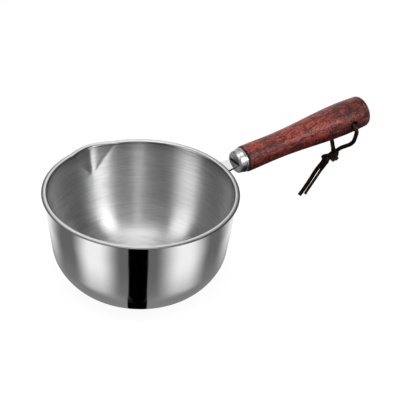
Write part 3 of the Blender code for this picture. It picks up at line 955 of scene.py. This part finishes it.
def swell(along):
    """Radius of the wood: front, waist, belly and end, joined by half waves."""
    for (a, low), (b, high) in zip(GRIP_STATIONS, GRIP_STATIONS[1:]):
        if along <= b:
            return low + (high - low) * (1 - cos(pi * (along - a) / (b - a))) / 2
    return GRIP_STATIONS[-1][1]


end_flat = GRIP_LENGTH - GRIP_END_CROWN
last_row = end_flat - GRIP_END_ROUNDING
front_centre = (GRIP_FRONT_ROUNDING, swell(0) - GRIP_FRONT_ROUNDING)
end_centre = (last_row, swell(last_row) - GRIP_END_ROUNDING)
grip_outline = [(SPIGOT_POCKET, 0.0), (SPIGOT_POCKET, spigot_hole), (0.0, spigot_hole)]
grip_outline += arc(front_centre, GRIP_FRONT_ROUNDING, 180, 90, GRIP_FRONT_STEPS)
for i in range(1, GRIP_ROWS + 1):
    along = GRIP_FRONT_ROUNDING + (last_row - GRIP_FRONT_ROUNDING) * i / GRIP_ROWS
    grip_outline.append((along, swell(along)))
grip_outline += arc(end_centre, GRIP_END_ROUNDING, 90, 0, GRIP_END_STEPS)[1:]
for share in GRIP_END_RINGS:
    grip_outline.append((end_flat + GRIP_END_CROWN * (1 - share ** 2), end_centre[1] * share))
grip = turned("wood_grip", grip_outline)
widest = max(radius for along, radius in grip_outline)
print("the wood is", round(2 * widest, 4), "m thick at the belly")

# %% Drill the cross hole
CROSS_HOLE_RADIUS = 0.0030
MOUTH_EASE = 0.0005
DRILL_STEPS = 48

reach = swell(hole_along)
mouth_radius = CROSS_HOLE_RADIUS + MOUTH_EASE
drill_half = [
    (CROSS_HOLE_RADIUS, reach - 2 * MOUTH_EASE),
    (CROSS_HOLE_RADIUS + 0.3 * MOUTH_EASE, reach - MOUTH_EASE),
    (mouth_radius, reach),
    (mouth_radius + 3 * MOUTH_EASE, reach + 2 * MOUTH_EASE),
    (0.0, reach + 2 * MOUTH_EASE),
]
drill = [(r, -y, 0.0) for r, y in reversed(drill_half)] + [(r, y, 0.0) for r, y in drill_half]
drill_place = to_handle @ Matrix.Translation((hole_along, 0, 0))
drill_bm = bmesh.new()
chain(drill_bm, drill)
spin_round(drill_bm, Y_AXIS, DRILL_STEPS)
bmesh.ops.transform(drill_bm, matrix=drill_place, verts=drill_bm.verts)
cut(grip, drill_bm)
seat(grip, "pot", "red_wood", "handle_grip")

# %% [markdown]
# ## Finishes
# A finish is a small tree of nodes, which could be wired by hand in the editor. Sums on sockets
# are easier to read as Python sums, so one class wraps a socket and adds the Math node when a sum
# is written. One method of the bench adds any other node.

# %% Sums on sockets


class Value:
    """The output of a node. A sum on it adds a Math node to the same tree."""

    def __init__(self, bench, socket):
        self.bench = bench
        self.socket = socket

    def math(self, operation, *values):
        return self.bench.add("ShaderNodeMath", {"operation": operation}, dict(enumerate(values)))

    def __add__(self, other):
        return self.math("ADD", self, other)

    def __radd__(self, other):
        return self.math("ADD", other, self)

    def __sub__(self, other):
        return self.math("SUBTRACT", self, other)

    def __rsub__(self, other):
        return self.math("SUBTRACT", other, self)

    def __mul__(self, other):
        return self.math("MULTIPLY", self, other)

    def __rmul__(self, other):
        return self.math("MULTIPLY", other, self)

    def __pow__(self, other):
        return self.math("POWER", self, other)

    def __abs__(self):
        return self.math("ABSOLUTE", self)


# %% The bench where nodes are wired
NOISE_LOW = 0.3
NOISE_HIGH = 0.7
BUMP_DEPTH = 0.0001


class Bench:
    """Where one material, or the world, is wired."""

    def __init__(self, owner):
        owner.use_nodes = True
        self.tree = owner.node_tree
        self.tree.nodes.clear()

    def add(self, kind, settings=None, sockets=None, output=0):
        node = self.tree.nodes.new(kind)
        for name, value in (settings or {}).items():
            if name == "stops":
                self.set_stops(node.color_ramp, value)
            else:
                setattr(node, name, value)
        for key, value in (sockets or {}).items():
            if isinstance(value, Value):
                self.tree.links.new(value.socket, node.inputs[key])
            else:
                node.inputs[key].default_value = value
        return Value(self, node.outputs[output]) if node.outputs else None

    def set_stops(self, ramp, stops):
        """Colour stops as (place, colour); the ramp starts with two."""
        while len(ramp.elements) < len(stops):
            ramp.elements.new(0.5)
        for element, (place, colour) in zip(ramp.elements, stops):
            element.position = place
            element.color = (*colour, 1.0)

    def mix(self, factor, first, second):
        """Two colours mixed by a factor."""
        colours = {"Factor": factor, 6: first, 7: second}
        return self.add("ShaderNodeMix", {"data_type": "RGBA"}, colours, 2)

    def vector(self, operation, first, second):
        return self.add("ShaderNodeVectorMath", {"operation": operation}, {0: first, 1: second})

    def parts(self, vector):
        """The x, y and z of a vector."""
        x = self.add("ShaderNodeSeparateXYZ", None, {0: vector})
        return [Value(self, output) for output in x.socket.node.outputs]

    def joined(self, x, y, z):
        return self.add("ShaderNodeCombineXYZ", None, {0: x, 1: y, 2: z})

    def noise(self, place, scale=1.0, detail=2.0, roughness=0.5):
        sockets = {"Vector": place, "Scale": scale, "Detail": detail, "Roughness": roughness}
        return self.add("ShaderNodeTexNoise", None, sockets)

    def level(self, value, low, high, to_low=0.0, to_high=1.0, form="LINEAR"):
        """A clamped map from one range to another, straight unless the form says otherwise."""
        sockets = {"Value": value, "From Min": low, "From Max": high}
        sockets |= {"To Min": to_low, "To Max": to_high}
        return self.add("ShaderNodeMapRange", {"interpolation_type": form}, sockets)

    def ease(self, value, low, high, to_low=0.0, to_high=1.0):
        """A smooth step from one level to another as the value goes from low to high."""
        return self.level(value, low, high, to_low, to_high, "SMOOTHSTEP")

    def spread(self, noise, to_low, to_high):
        """A noise, which hardly leaves its middle, spread over a range of its own."""
        return self.level(noise, NOISE_LOW, NOISE_HIGH, to_low, to_high)

    def bump(self, height, strength):
        sockets = {"Strength": strength, "Distance": BUMP_DEPTH, "Height": height}
        return self.add("ShaderNodeBump", None, sockets)


# %% Make a finish


def grey(level):
    return (level, level, level, 1)


def surface(name, wire):
    """A material whose surface is the shader that the wire function gives."""
    material = bpy.data.materials.new(name)
    bench = Bench(material)
    bench.add("ShaderNodeOutputMaterial", None, {"Surface": wire(bench)})
    return material


def finish(name, wire):
    """A material whose Principled sockets come from the wire function."""

    def principled(bench):
        place = bench.add("ShaderNodeTexCoord", output="Object")
        return bench.add("ShaderNodeBsdfPrincipled", None, wire(bench, place))

    return surface(name, principled)


def metal(colour, roughness):
    return {"Base Color": colour, "Metallic": 1.0, "Roughness": roughness}


def plain_metal(colour, grain, smooth, rough):
    """The wire function of a metal whose roughness wanders, grain times in a metre."""

    def wire(bench, place):
        return metal(colour, bench.spread(bench.noise(place, grain), smooth, rough))

    return wire


# %% Put finishes on a piece


def wear(obj, *materials):
    """Give a piece its finishes. Clearing the slots would lose the faces' own numbers."""
    slots = obj.data.materials
    for i, material in enumerate(materials):
        if i < len(slots):
            slots[i] = material
        else:
            slots.append(material)
    print(obj.name, "wears", ", ".join(material.name for material in materials))


# %% [markdown]
# ## Steel
# Outside, the bowl is buffed to a mirror. A mirror has hardly a colour of its own: what shows is
# the room. Inside, it is brushed in rings, so its shine is drawn out across the brush lines. A
# strong bump could draw it out too, but it would need lines finer than a pixel. Anisotropy does it
# in the shader, and a quarter turn sets it across the rings.

# %% Mirror and brushed steel
MIRROR_COLOUR = (0.80, 0.80, 0.81, 1)
HAZE_GRAIN = 90.0
BRUSH_ALONG = 55.0
BRUSH_ACROSS = 700.0
BRUSH_DETAIL = 4.0
BRUSH_ROUGHNESS = 0.65
ACROSS_THE_RINGS = 0.25
# Where a smooth step starts and ends with height. Two more numbers are its two levels.
# The wall, rim and bend levels below are painted shade: the walls darker than the base, darker still
# below the rim, and darker in the bend round the base.
WALL_SHADE = (0.002, 0.016, 0.95, 0.80)
RIM_SHADE = (RIM_ROOT_HEIGHT - 0.010, RIM_ROOT_HEIGHT, 1.0, 0.72)
BEND_RISES = (0.0012, 0.0035)
BEND_ENDS = (0.010, 0.020, 1.0, 0.0)
BEND_PAINTED_SHADE = 0.12
BEND_SMOOTHS = 0.07


def polished(bench, place):
    haze = bench.noise(place, HAZE_GRAIN, 3.0)
    return metal(MIRROR_COLOUR, bench.level(haze, 0.35, 0.65, 0.035, 0.075))


def brush_lines(bench, place, along=BRUSH_ALONG, across=BRUSH_ACROSS):
    """Noise drawn out along the rings of the bowl: fine from ring to ring, long round them."""
    x, y, z = bench.parts(place)
    ring = ((x * x + y * y) ** 0.5 + z) * across
    where = bench.joined(x * along, y * along, ring)
    return bench.noise(where, 1.0, BRUSH_DETAIL, BRUSH_ROUGHNESS)


def brushed(bench, place):
    """Brush lines, with painted shade: walls darker than the base, darker below the rim, and a
    smoother, darker bend round the base.
    """
    lines = brush_lines(bench, place)
    height = bench.parts(place)[2]
    bend = bench.ease(height, *BEND_RISES) * bench.ease(height, *BEND_ENDS)
    # Painted shade by height goes into the colour here.
    shaded = bench.spread(lines, 0.74, 1.0) * bench.ease(height, *RIM_SHADE)
    light = shaded * bench.ease(height, *WALL_SHADE) * (1 - bend * BEND_PAINTED_SHADE)
    roughness = bench.spread(lines, 0.40, 0.48) - bend * BEND_SMOOTHS
    return metal(bench.mix(light, grey(0.0), grey(1.0)), roughness) | {
        "Anisotropic": 0.97,
        "Anisotropic Rotation": ACROSS_THE_RINGS,
        "Normal": bench.bump(lines, 0.25),
    }


# %% The rim's satin steel
RIM_LINES_ALONG = 120.0
RIM_LINES_ACROSS = 4000.0
RIM_HIGHLIGHT_STARTS = POT_HEIGHT - 0.6 * RIM_SLOPE
RIM_HIGHLIGHT_ENDS = POT_HEIGHT - 0.2 * RIM_SLOPE


def satin(bench, place):
    """Satin, with a painted highlight on the rim's crown and painted shade on its outer half."""
    lines = brush_lines(bench, place, RIM_LINES_ALONG, RIM_LINES_ACROSS)
    # Painted highlight on the crown, painted shade on the rim's outer half.
    crown = bench.ease(bench.parts(place)[2], RIM_HIGHLIGHT_STARTS, RIM_HIGHLIGHT_ENDS)
    return metal(bench.mix(crown, grey(0.28), grey(0.90)), bench.spread(lines, 0.26, 0.34))


# %% The ferrule's turned steel
LATHE_LINES_ALONG = 3000.0
LATHE_LINES_ROUND = 120.0
FACE_ENDS = (FERRULE_FACE + 0.0004, FERRULE_FACE + 0.0014)


def turned_steel(bench, place):
    """Lathe lines, and a face that is rougher than the sides behind it and darker, as painted shade.
    """
    x, y, z = bench.parts(place)
    where = bench.joined(x * LATHE_LINES_ALONG, y * LATHE_LINES_ROUND, z * LATHE_LINES_ROUND)
    lines = bench.noise(where)
    along = (x - HANDLE_FRONT.x) * cos(HANDLE_TILT) + (z - HANDLE_FRONT.z) * sin(HANDLE_TILT)
    behind_face = bench.ease(along, *FACE_ENDS)
    # The face's darker grey is painted shade.
    return metal(
        bench.mix(behind_face, grey(0.52), grey(0.60)),
        bench.spread(lines, 0.27, 0.37) + (1 - behind_face) * 0.08,
    )


# %% Put the steel on
# The rim's outer edge is painted near black: painted shade for the dark line under the rim.
EDGE_SHADE_COLOUR = (0.16, 0.16, 0.17, 1)
EDGE_SHADE_GRAIN = 1200.0

edge_shade_steel = plain_metal(EDGE_SHADE_COLOUR, EDGE_SHADE_GRAIN, 0.35, 0.55)
wear(
    bowl,
    finish("mirror_steel", polished),
    finish("brushed_steel", brushed),
    finish("rim_steel", satin),
    finish("cut_edge_steel", edge_shade_steel),
)
wear(bracket, finish("tab_steel", polished))
wear(ferrule, finish("turned_steel", turned_steel))

# %% [markdown]
# ## Fibre, zinc and brass
# The washer is pressed black fibre, which is matt and hardly grey. The hidden stud is zinc plated
# and the insert is turned brass. Each could be one flat colour. A little noise costs nothing, and
# it keeps a piece from looking like a toy when somebody opens the model.

# %% Fibre, zinc and brass
FIBRE_GRAIN = 1500.0
DARK_FIBRE = (0.010, 0.005, 0.004, 1)
PALE_FIBRE = (0.030, 0.014, 0.012, 1)
ZINC_COLOUR = (0.60, 0.61, 0.63, 1)
BRASS_COLOUR = (0.72, 0.53, 0.22, 1)
ZINC_GRAIN = 700.0
BRASS_GRAIN = 900.0


def fibre(bench, place):
    grain = bench.noise(place, FIBRE_GRAIN)
    return {"Base Color": bench.mix(grain, DARK_FIBRE, PALE_FIBRE), "Roughness": 0.75}


zinc = plain_metal(ZINC_COLOUR, ZINC_GRAIN, 0.28, 0.45)
brass = plain_metal(BRASS_COLOUR, BRASS_GRAIN, 0.22, 0.38)
wear(washer, finish("black_fibre_finish", fibre))
wear(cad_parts["handle_stud"], finish("zinc_finish", zinc))
wear(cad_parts["threaded_insert"], finish("brass_finish", brass))

# %% [markdown]
# ## Wood
# The grip is a dense red wood under lacquer. A picture of wood could be wrapped round it, but that
# shows a seam and needs a file. Noise has neither, and it runs through the piece as grain does.
# Long bands and soft blotches carry red and purple brown, streaks run along the grain and flecks
# across it, a pale dust with painted glints lies on the lightest of them, and short dark pores are
# let in. Painted shade darkens the mouths of the cross hole.

# %% Wood grain
# How often each pattern repeats in a metre along and across the grain, its detail and roughness.
WOOD_PATTERNS = {
    "bands": (60.0, 210.0, 3.0, 0.6),
    "blotches": (150.0, 190.0, 2.0, 0.5),
    "flecks": (1100.0, 300.0, 2.0, 0.7),
    "streaks": (200.0, 1100.0, 2.0, 0.6),
    "pores": (260.0, 1500.0, 2.0, 0.6),
}


def wood_patterns(bench, grain):
    """Each pattern as a noise, drawn out along the grain or across it."""
    made = {}
    for name, (along, across, detail, roughness) in WOOD_PATTERNS.items():
        where = bench.vector("MULTIPLY", grain, (along, across, across))
        made[name] = bench.noise(where, 1.0, detail, roughness)
    return made


# %% Wood colour
# Tones are mixed from the patterns. Each stop is a tone and its colour.
WOOD_TONES = [
    (0.420, (0.030, 0.008, 0.009)),
    (0.464, (0.086, 0.016, 0.014)),
    (0.503, (0.195, 0.029, 0.021)),
    (0.548, (0.375, 0.060, 0.036)),
]
# How much each pattern counts in the tone.
TONE_SHARES = {"bands": 0.24, "blotches": 0.18, "flecks": 0.32, "streaks": 0.26}
DUST_AND_GLINT_COLOUR = (0.32, 0.19, 0.15, 1)
DUST_AND_GLINT_LEVELS = (0.42, 0.62)
DUST_AND_GLINT_SHARE = 0.12
DARK_END = handle_point(0.100).x
DARK_END_STARTS = DARK_END - 0.014
DARK_END_DEPTH = 0.036


def wood_colour(bench, grain, pattern):
    """The colour of the wood, darker at its far end, under a pale dust that is partly painted glint.
    """
    tone = sum(pattern[name] * share for name, share in TONE_SHARES.items())
    along = bench.parts(grain)[0]
    tone = tone - bench.ease(along, DARK_END_STARTS, DARK_END, 0.0, DARK_END_DEPTH)
    colour = bench.add("ShaderNodeValToRGB", {"stops": WOOD_TONES}, {"Fac": tone})
    # Pale dust on the lightest flecks and streaks, which is also painted glint.
    dust_and_glint = bench.level(pattern["flecks"] * 0.5 + pattern["streaks"] * 0.5, *DUST_AND_GLINT_LEVELS)
    return bench.mix(dust_and_glint * DUST_AND_GLINT_SHARE, colour, DUST_AND_GLINT_COLOUR)


# %% Wood
PORE_COLOUR = (0.020, 0.007, 0.007, 1)
PORE_DEPTH = 0.7
PORE_LEVELS = (0.60, 0.70)
HOLE_SHADE_COLOUR = (0.012, 0.005, 0.005, 1)
HOLE_SHADE_REACH = (CROSS_HOLE_RADIUS, CROSS_HOLE_RADIUS + 0.0014, 0.85, 0.0)


def wood(bench, place):
    turn = {"Vector": place, "Rotation": (0, HANDLE_TILT, 0)}
    grain = bench.add("ShaderNodeMapping", {"vector_type": "POINT"}, turn)
    pattern = wood_patterns(bench, grain)
    pores = bench.ease(pattern["pores"], *PORE_LEVELS)
    colour = wood_colour(bench, grain, pattern)
    colour = bench.mix(pores * PORE_DEPTH, colour, PORE_COLOUR)
    # Painted shade darkens the wood round the mouths of the cross hole.
    x, _, z = bench.parts(bench.vector("SUBTRACT", place, tuple(hole_centre)))
    hole_shade = bench.ease((x * x + z * z) ** 0.5, *HOLE_SHADE_REACH)
    return {
        "Base Color": bench.mix(hole_shade, colour, HOLE_SHADE_COLOUR),
        "Roughness": bench.spread(pattern["flecks"], 0.40, 0.55),
        "Specular IOR Level": 0.28,
        "Coat Weight": 0.20,
        "Coat Roughness": 0.28,
        "Normal": bench.bump(1 - pores, 0.2),
    }


wear(grip, finish("lacquered_red_wood", wood))

# %% [markdown]
# ## Leather
# The lace is waxed dark brown leather. Displacement could raise its grain, but on a lace 3 mm wide
# it would cost faces that no one sees. So the grain is a fine pebble in the bump, and the rubbed
# places are a little paler and smoother.

# %% Leather
RUB_GRAIN = 260.0
PEBBLE_GRAIN = 2600.0
WAXED = (0.012, 0.0044, 0.0028, 1)
RUBBED = (0.052, 0.021, 0.012, 1)


def leather(bench, place):
    rub = bench.noise(place, RUB_GRAIN, 3.0)
    pebble = bench.add("ShaderNodeTexVoronoi", None, {"Vector": place, "Scale": PEBBLE_GRAIN})
    return {
        "Base Color": bench.mix(bench.ease(rub, 0.40, 0.70), WAXED, RUBBED),
        "Roughness": bench.spread(rub, 0.62, 0.45),
        "Specular IOR Level": 0.22,
        "Normal": bench.bump(pebble, 0.35),
    }


dark_leather = finish("waxed_leather", leather)
for obj in (loop, knot, long_tail, short_tail):
    wear(obj, dark_leather)

# %% [markdown]
# ## The studio
# Steel shows the studio, so the studio is part of the finish. Below eye level stand two soft boxes,
# left and right of the camera, a faint light behind the pot, and a black card in the middle: the
# outside wall mirrors these. Above eye level stand two tall boxes, a strip between them, and lights
# behind and overhead: the inside mirrors these. They could be real panels round the pot, but then
# they would light the wood and the floor as well. So they are drawn in the world, where only glossy
# rays see them.

# %% Compass angles and bands of light
BEHIND_CAMERA = Vector((camera_back.x, camera_back.y, 0)).normalized()


def compass_of(x, y):
    """Degrees round the pot from the camera's side, growing to the right, as a sum on sockets."""
    right = x * level_right.x + y * level_right.y
    ahead = x * BEHIND_CAMERA.x + y * BEHIND_CAMERA.y
    return right.math("ARCTAN2", right, ahead) * degrees(1)


def glow(bench, angle, centre, flat, fade, strength):
    """A band of light: even for so many degrees beside its centre, then fading out."""
    return bench.ease(abs(angle - centre), flat, flat + fade, strength, 0.0)


# %% Below eye level, for the outside wall
WALL_RAY_Z = -0.77
STRIPE_SHRINK = 0.672
LOW_GREY = 0.15
LOW_BOXES = (
    {"centre": -62, "flat": 6, "fade": 34, "strength": 0.92},
    {"centre": 69, "flat": 5, "fade": 40, "strength": 0.92},
)
REAR_SHRINK = 0.9
REAR_CENTRE = 3
REAR_LIGHT = (130, 180, 0.0, 0.75)
CARD_CENTRE = 1.4
CARD_EDGE = (12.8, 14.4, 1.0, 0.0)


def low_studio(bench, compass, z):
    """What rays that go down see. Stripes shrink with z, which keeps them upright on the wall."""
    angle = compass * (1 + (z - WALL_RAY_Z) * STRIPE_SHRINK)
    light = LOW_GREY
    for box in LOW_BOXES:
        light = light + glow(bench, angle, **box)
    rear_angle = compass * (1 + (z - WALL_RAY_Z) * REAR_SHRINK)
    light = light + bench.ease(abs(rear_angle - REAR_CENTRE), *REAR_LIGHT)
    return light * (1 - bench.ease(abs(angle - CARD_CENTRE), *CARD_EDGE))


# %% Above eye level, for the inside
HIGH_GREY = (0.10, 0.25, 0.16, 0.02)
TALL_BOXES = (
    {"lean": 8, "centre": 60, "flat": 8, "fade": 6, "heights": (0.18, 0.54), "strength": 12.0},
    {"lean": 42, "centre": -38, "flat": 11, "fade": 8, "heights": (0.18, 0.58), "strength": 7.4},
)
TALL_BOX_DIMS = (0.45, 0.80, 1.0, 0.12)
STRIP = {"centre": 6, "flat": 2, "fade": 5, "strength": 4.5}
STRIP_RISES = (0.15, 0.35)
STRIP_ENDS = (0.45, 0.65, 1.0, 0.0)
BACK_WALL = (100, 140, 0.0, 0.13)
BACK_LIGHT_CENTRE = 5
BACK_LIGHT = (165, 177, 0.0, 0.85)
CORNER_LIGHT = {"centre": -141, "flat": 8, "fade": 20, "strength": 0.7}
CORNER_LIGHT_RISES = (0.60, 0.72)
TOP_LIGHT = (0.93, 0.985, 0.0, 2.7)


def tall_box(bench, compass, z, lean, centre, flat, fade, heights, strength):
    """A soft box that leans with height and dims towards its top."""
    height = bench.ease(z, *heights, 0.0, strength) * bench.ease(z, *TALL_BOX_DIMS)
    return height * glow(bench, compass + z * lean, centre, flat, fade, 1.0)


def high_studio(bench, compass, z):
    """What rays that go up see."""
    light = bench.ease(z, *HIGH_GREY)
    for box in TALL_BOXES:
        light = light + tall_box(bench, compass, z, **box)
    strip_height = bench.ease(z, *STRIP_RISES) * bench.ease(z, *STRIP_ENDS)
    light = light + strip_height * glow(bench, compass, **STRIP)
    light = light + bench.ease(abs(compass), *BACK_WALL)
    light = light + bench.ease(abs(compass - BACK_LIGHT_CENTRE), *BACK_LIGHT)
    corner = bench.ease(z, *CORNER_LIGHT_RISES) * glow(bench, compass, **CORNER_LIGHT)
    return light + corner + bench.ease(z, *TOP_LIGHT)


# %% World
EYE_LEVEL = (-0.20, 0.05)
AMBIENT = 0.55
SKY = (-0.4, 0.6, 0.05, AMBIENT)

world = bpy.data.worlds.new("studio")
world.cycles.sampling_method = "NONE"
scene.world = world
bench = Bench(world)
camera_ray = bench.add("ShaderNodeLightPath", output="Is Camera Ray")
glossy_ray = bench.add("ShaderNodeLightPath", output="Is Glossy Ray")
x, y, z = bench.parts(bench.add("ShaderNodeTexCoord", output="Generated"))
compass = compass_of(x, y)
low_light = low_studio(bench, compass, z)
high_light = high_studio(bench, compass, z)
studio = bench.ease(z, *EYE_LEVEL, low_light, high_light)
sky = bench.ease(z, *SKY)
seen = glossy_ray * studio + (1 - glossy_ray) * sky
strength = camera_ray + (1 - camera_ray) * seen
light = bench.add("ShaderNodeBackground", None, {"Color": grey(1), "Strength": strength})
bench.add("ShaderNodeOutputWorld", None, {"Surface": light})
print("the world has", len(world.node_tree.nodes), "nodes")

# %% [markdown]
# ## The floor and what lies below the pot
# In the photograph the ground is plain white, with hardly a shadow. A bright floor could give that,
# but it would throw light up into the wood and the steel. So the floor glows for the camera alone
# and is dull for every other ray. Two stage pieces are there only for mirrors: a grey round that
# the bowl's lower wall sees, with the black card's stripe, and a black card below the handle.

# %% Floor
FLOOR_RADIUS = 3.0
FLOOR_LEVEL = -0.0002
FLOOR_GLOW = 0.93
DISC_STEPS = 96


def flat_disc(name, radius, z):
    """A flat round of the stage."""
    bm = bmesh.new()
    bmesh.ops.create_circle(
        bm,
        cap_ends=True,
        segments=DISC_STEPS,
        radius=radius,
        matrix=Matrix.Translation((0, 0, z)),
    )
    obj = as_object(name, bm)
    return obj


def diffuse(bench, level):
    return bench.add("ShaderNodeBsdfDiffuse", None, {"Color": grey(level)})


def pale(bench):
    """White paper for the camera, dull grey for any other ray."""
    glowing = {"Color": grey(1), "Strength": FLOOR_GLOW}
    white = bench.add("ShaderNodeEmission", None, glowing)
    lit = bench.add("ShaderNodeAddShader", None, {0: diffuse(bench, 0.10), 1: white})
    camera_ray = bench.add("ShaderNodeLightPath", output="Is Camera Ray")
    choice = {0: camera_ray, 1: diffuse(bench, 0.12), 2: lit}
    return bench.add("ShaderNodeMixShader", None, choice)


floor = flat_disc("floor", FLOOR_RADIUS, FLOOR_LEVEL)
floor.visible_glossy = False
wear(floor, surface("pale_floor", pale))

# %% The grey round below the bowl
ROUND_RADIUS = 0.125
ROUND_LEVEL = -0.0001
ROUND_FADES = (0.064, 0.115)
ROUND_GREY = 0.24
ROUND_CARD_CENTRE = 1.65
ROUND_CARD_EDGE = (7.7, 8.5, 1.0, 0.0)


def for_mirrors_alone(obj):
    """Hide a stage piece from every ray but the glossy ones."""
    obj.visible_camera = False
    obj.visible_diffuse = False
    obj.visible_shadow = False
    obj.visible_transmission = False


def grey_round(bench):
    """A grey that fades out with the radius, with the black card's stripe across it."""
    x, y, _ = bench.parts(bench.add("ShaderNodeTexCoord", output="Object"))
    away = abs(compass_of(x, y) - ROUND_CARD_CENTRE)
    strength = ROUND_GREY * (1 - bench.ease(away, *ROUND_CARD_EDGE))
    glowing = bench.add("ShaderNodeEmission", None, {"Strength": strength})
    clear = bench.add("ShaderNodeBsdfTransparent")
    cover = bench.ease((x * x + y * y) ** 0.5, *ROUND_FADES)
    return bench.add("ShaderNodeMixShader", None, {0: cover, 1: glowing, 2: clear})


round_below = flat_disc("shade_below", ROUND_RADIUS, ROUND_LEVEL)
for_mirrors_alone(round_below)
wear(round_below, surface("shade_below", grey_round))

# %% A black card below the handle
FLAG_PLACE = (0.160, -0.035, 0.050)
FLAG_HALF_SIZE = (0.072, 0.060, 1, 1)
FLAG_BLACK = 0.01

flag_bm = bmesh.new()
bmesh.ops.create_grid(
    flag_bm,
    x_segments=1,
    y_segments=1,
    size=1.0,
    matrix=Matrix.Translation(FLAG_PLACE) @ Matrix.Diagonal(FLAG_HALF_SIZE),
)
flag = as_object("flag_below_handle", flag_bm)
for_mirrors_alone(flag)
wear(flag, surface("black_card", lambda bench: diffuse(bench, FLAG_BLACK)))

# %% [markdown]
# ## The lamps
# The world's sky lights the wood and the leather evenly, which leaves them flat. A key lamp nearly
# overhead and a weaker fill from the handle's side give them their form. Sun lamps would draw hard
# edges, so both are broad area lamps. The steel doesn't mirror them, because it has its studio.

# %% Lamps
LAMP_SIZE = 0.9
LAMP_TARGET = Vector((0.05, 0.0, 0.04))


def lamp(name, place, power):
    """A broad square lamp that faces the pot."""
    data = bpy.data.lights.new(name, "AREA")
    data.shape = "SQUARE"
    data.size = LAMP_SIZE
    data.energy = power
    obj = bpy.data.objects.new(name, data)
    turn = (Vector(place) - LAMP_TARGET).to_track_quat("Z", "Y")
    obj.matrix_world = Matrix.Translation(place) @ turn.to_matrix().to_4x4()
    obj.visible_glossy = False
    scene.collection.objects.link(obj)
    print(name, "lamp of", power, "W at", place)


lamp("key", (-0.2, -0.1, 1.35), 10.5)
lamp("fill", (0.9, -0.7, 0.9), 4.0)
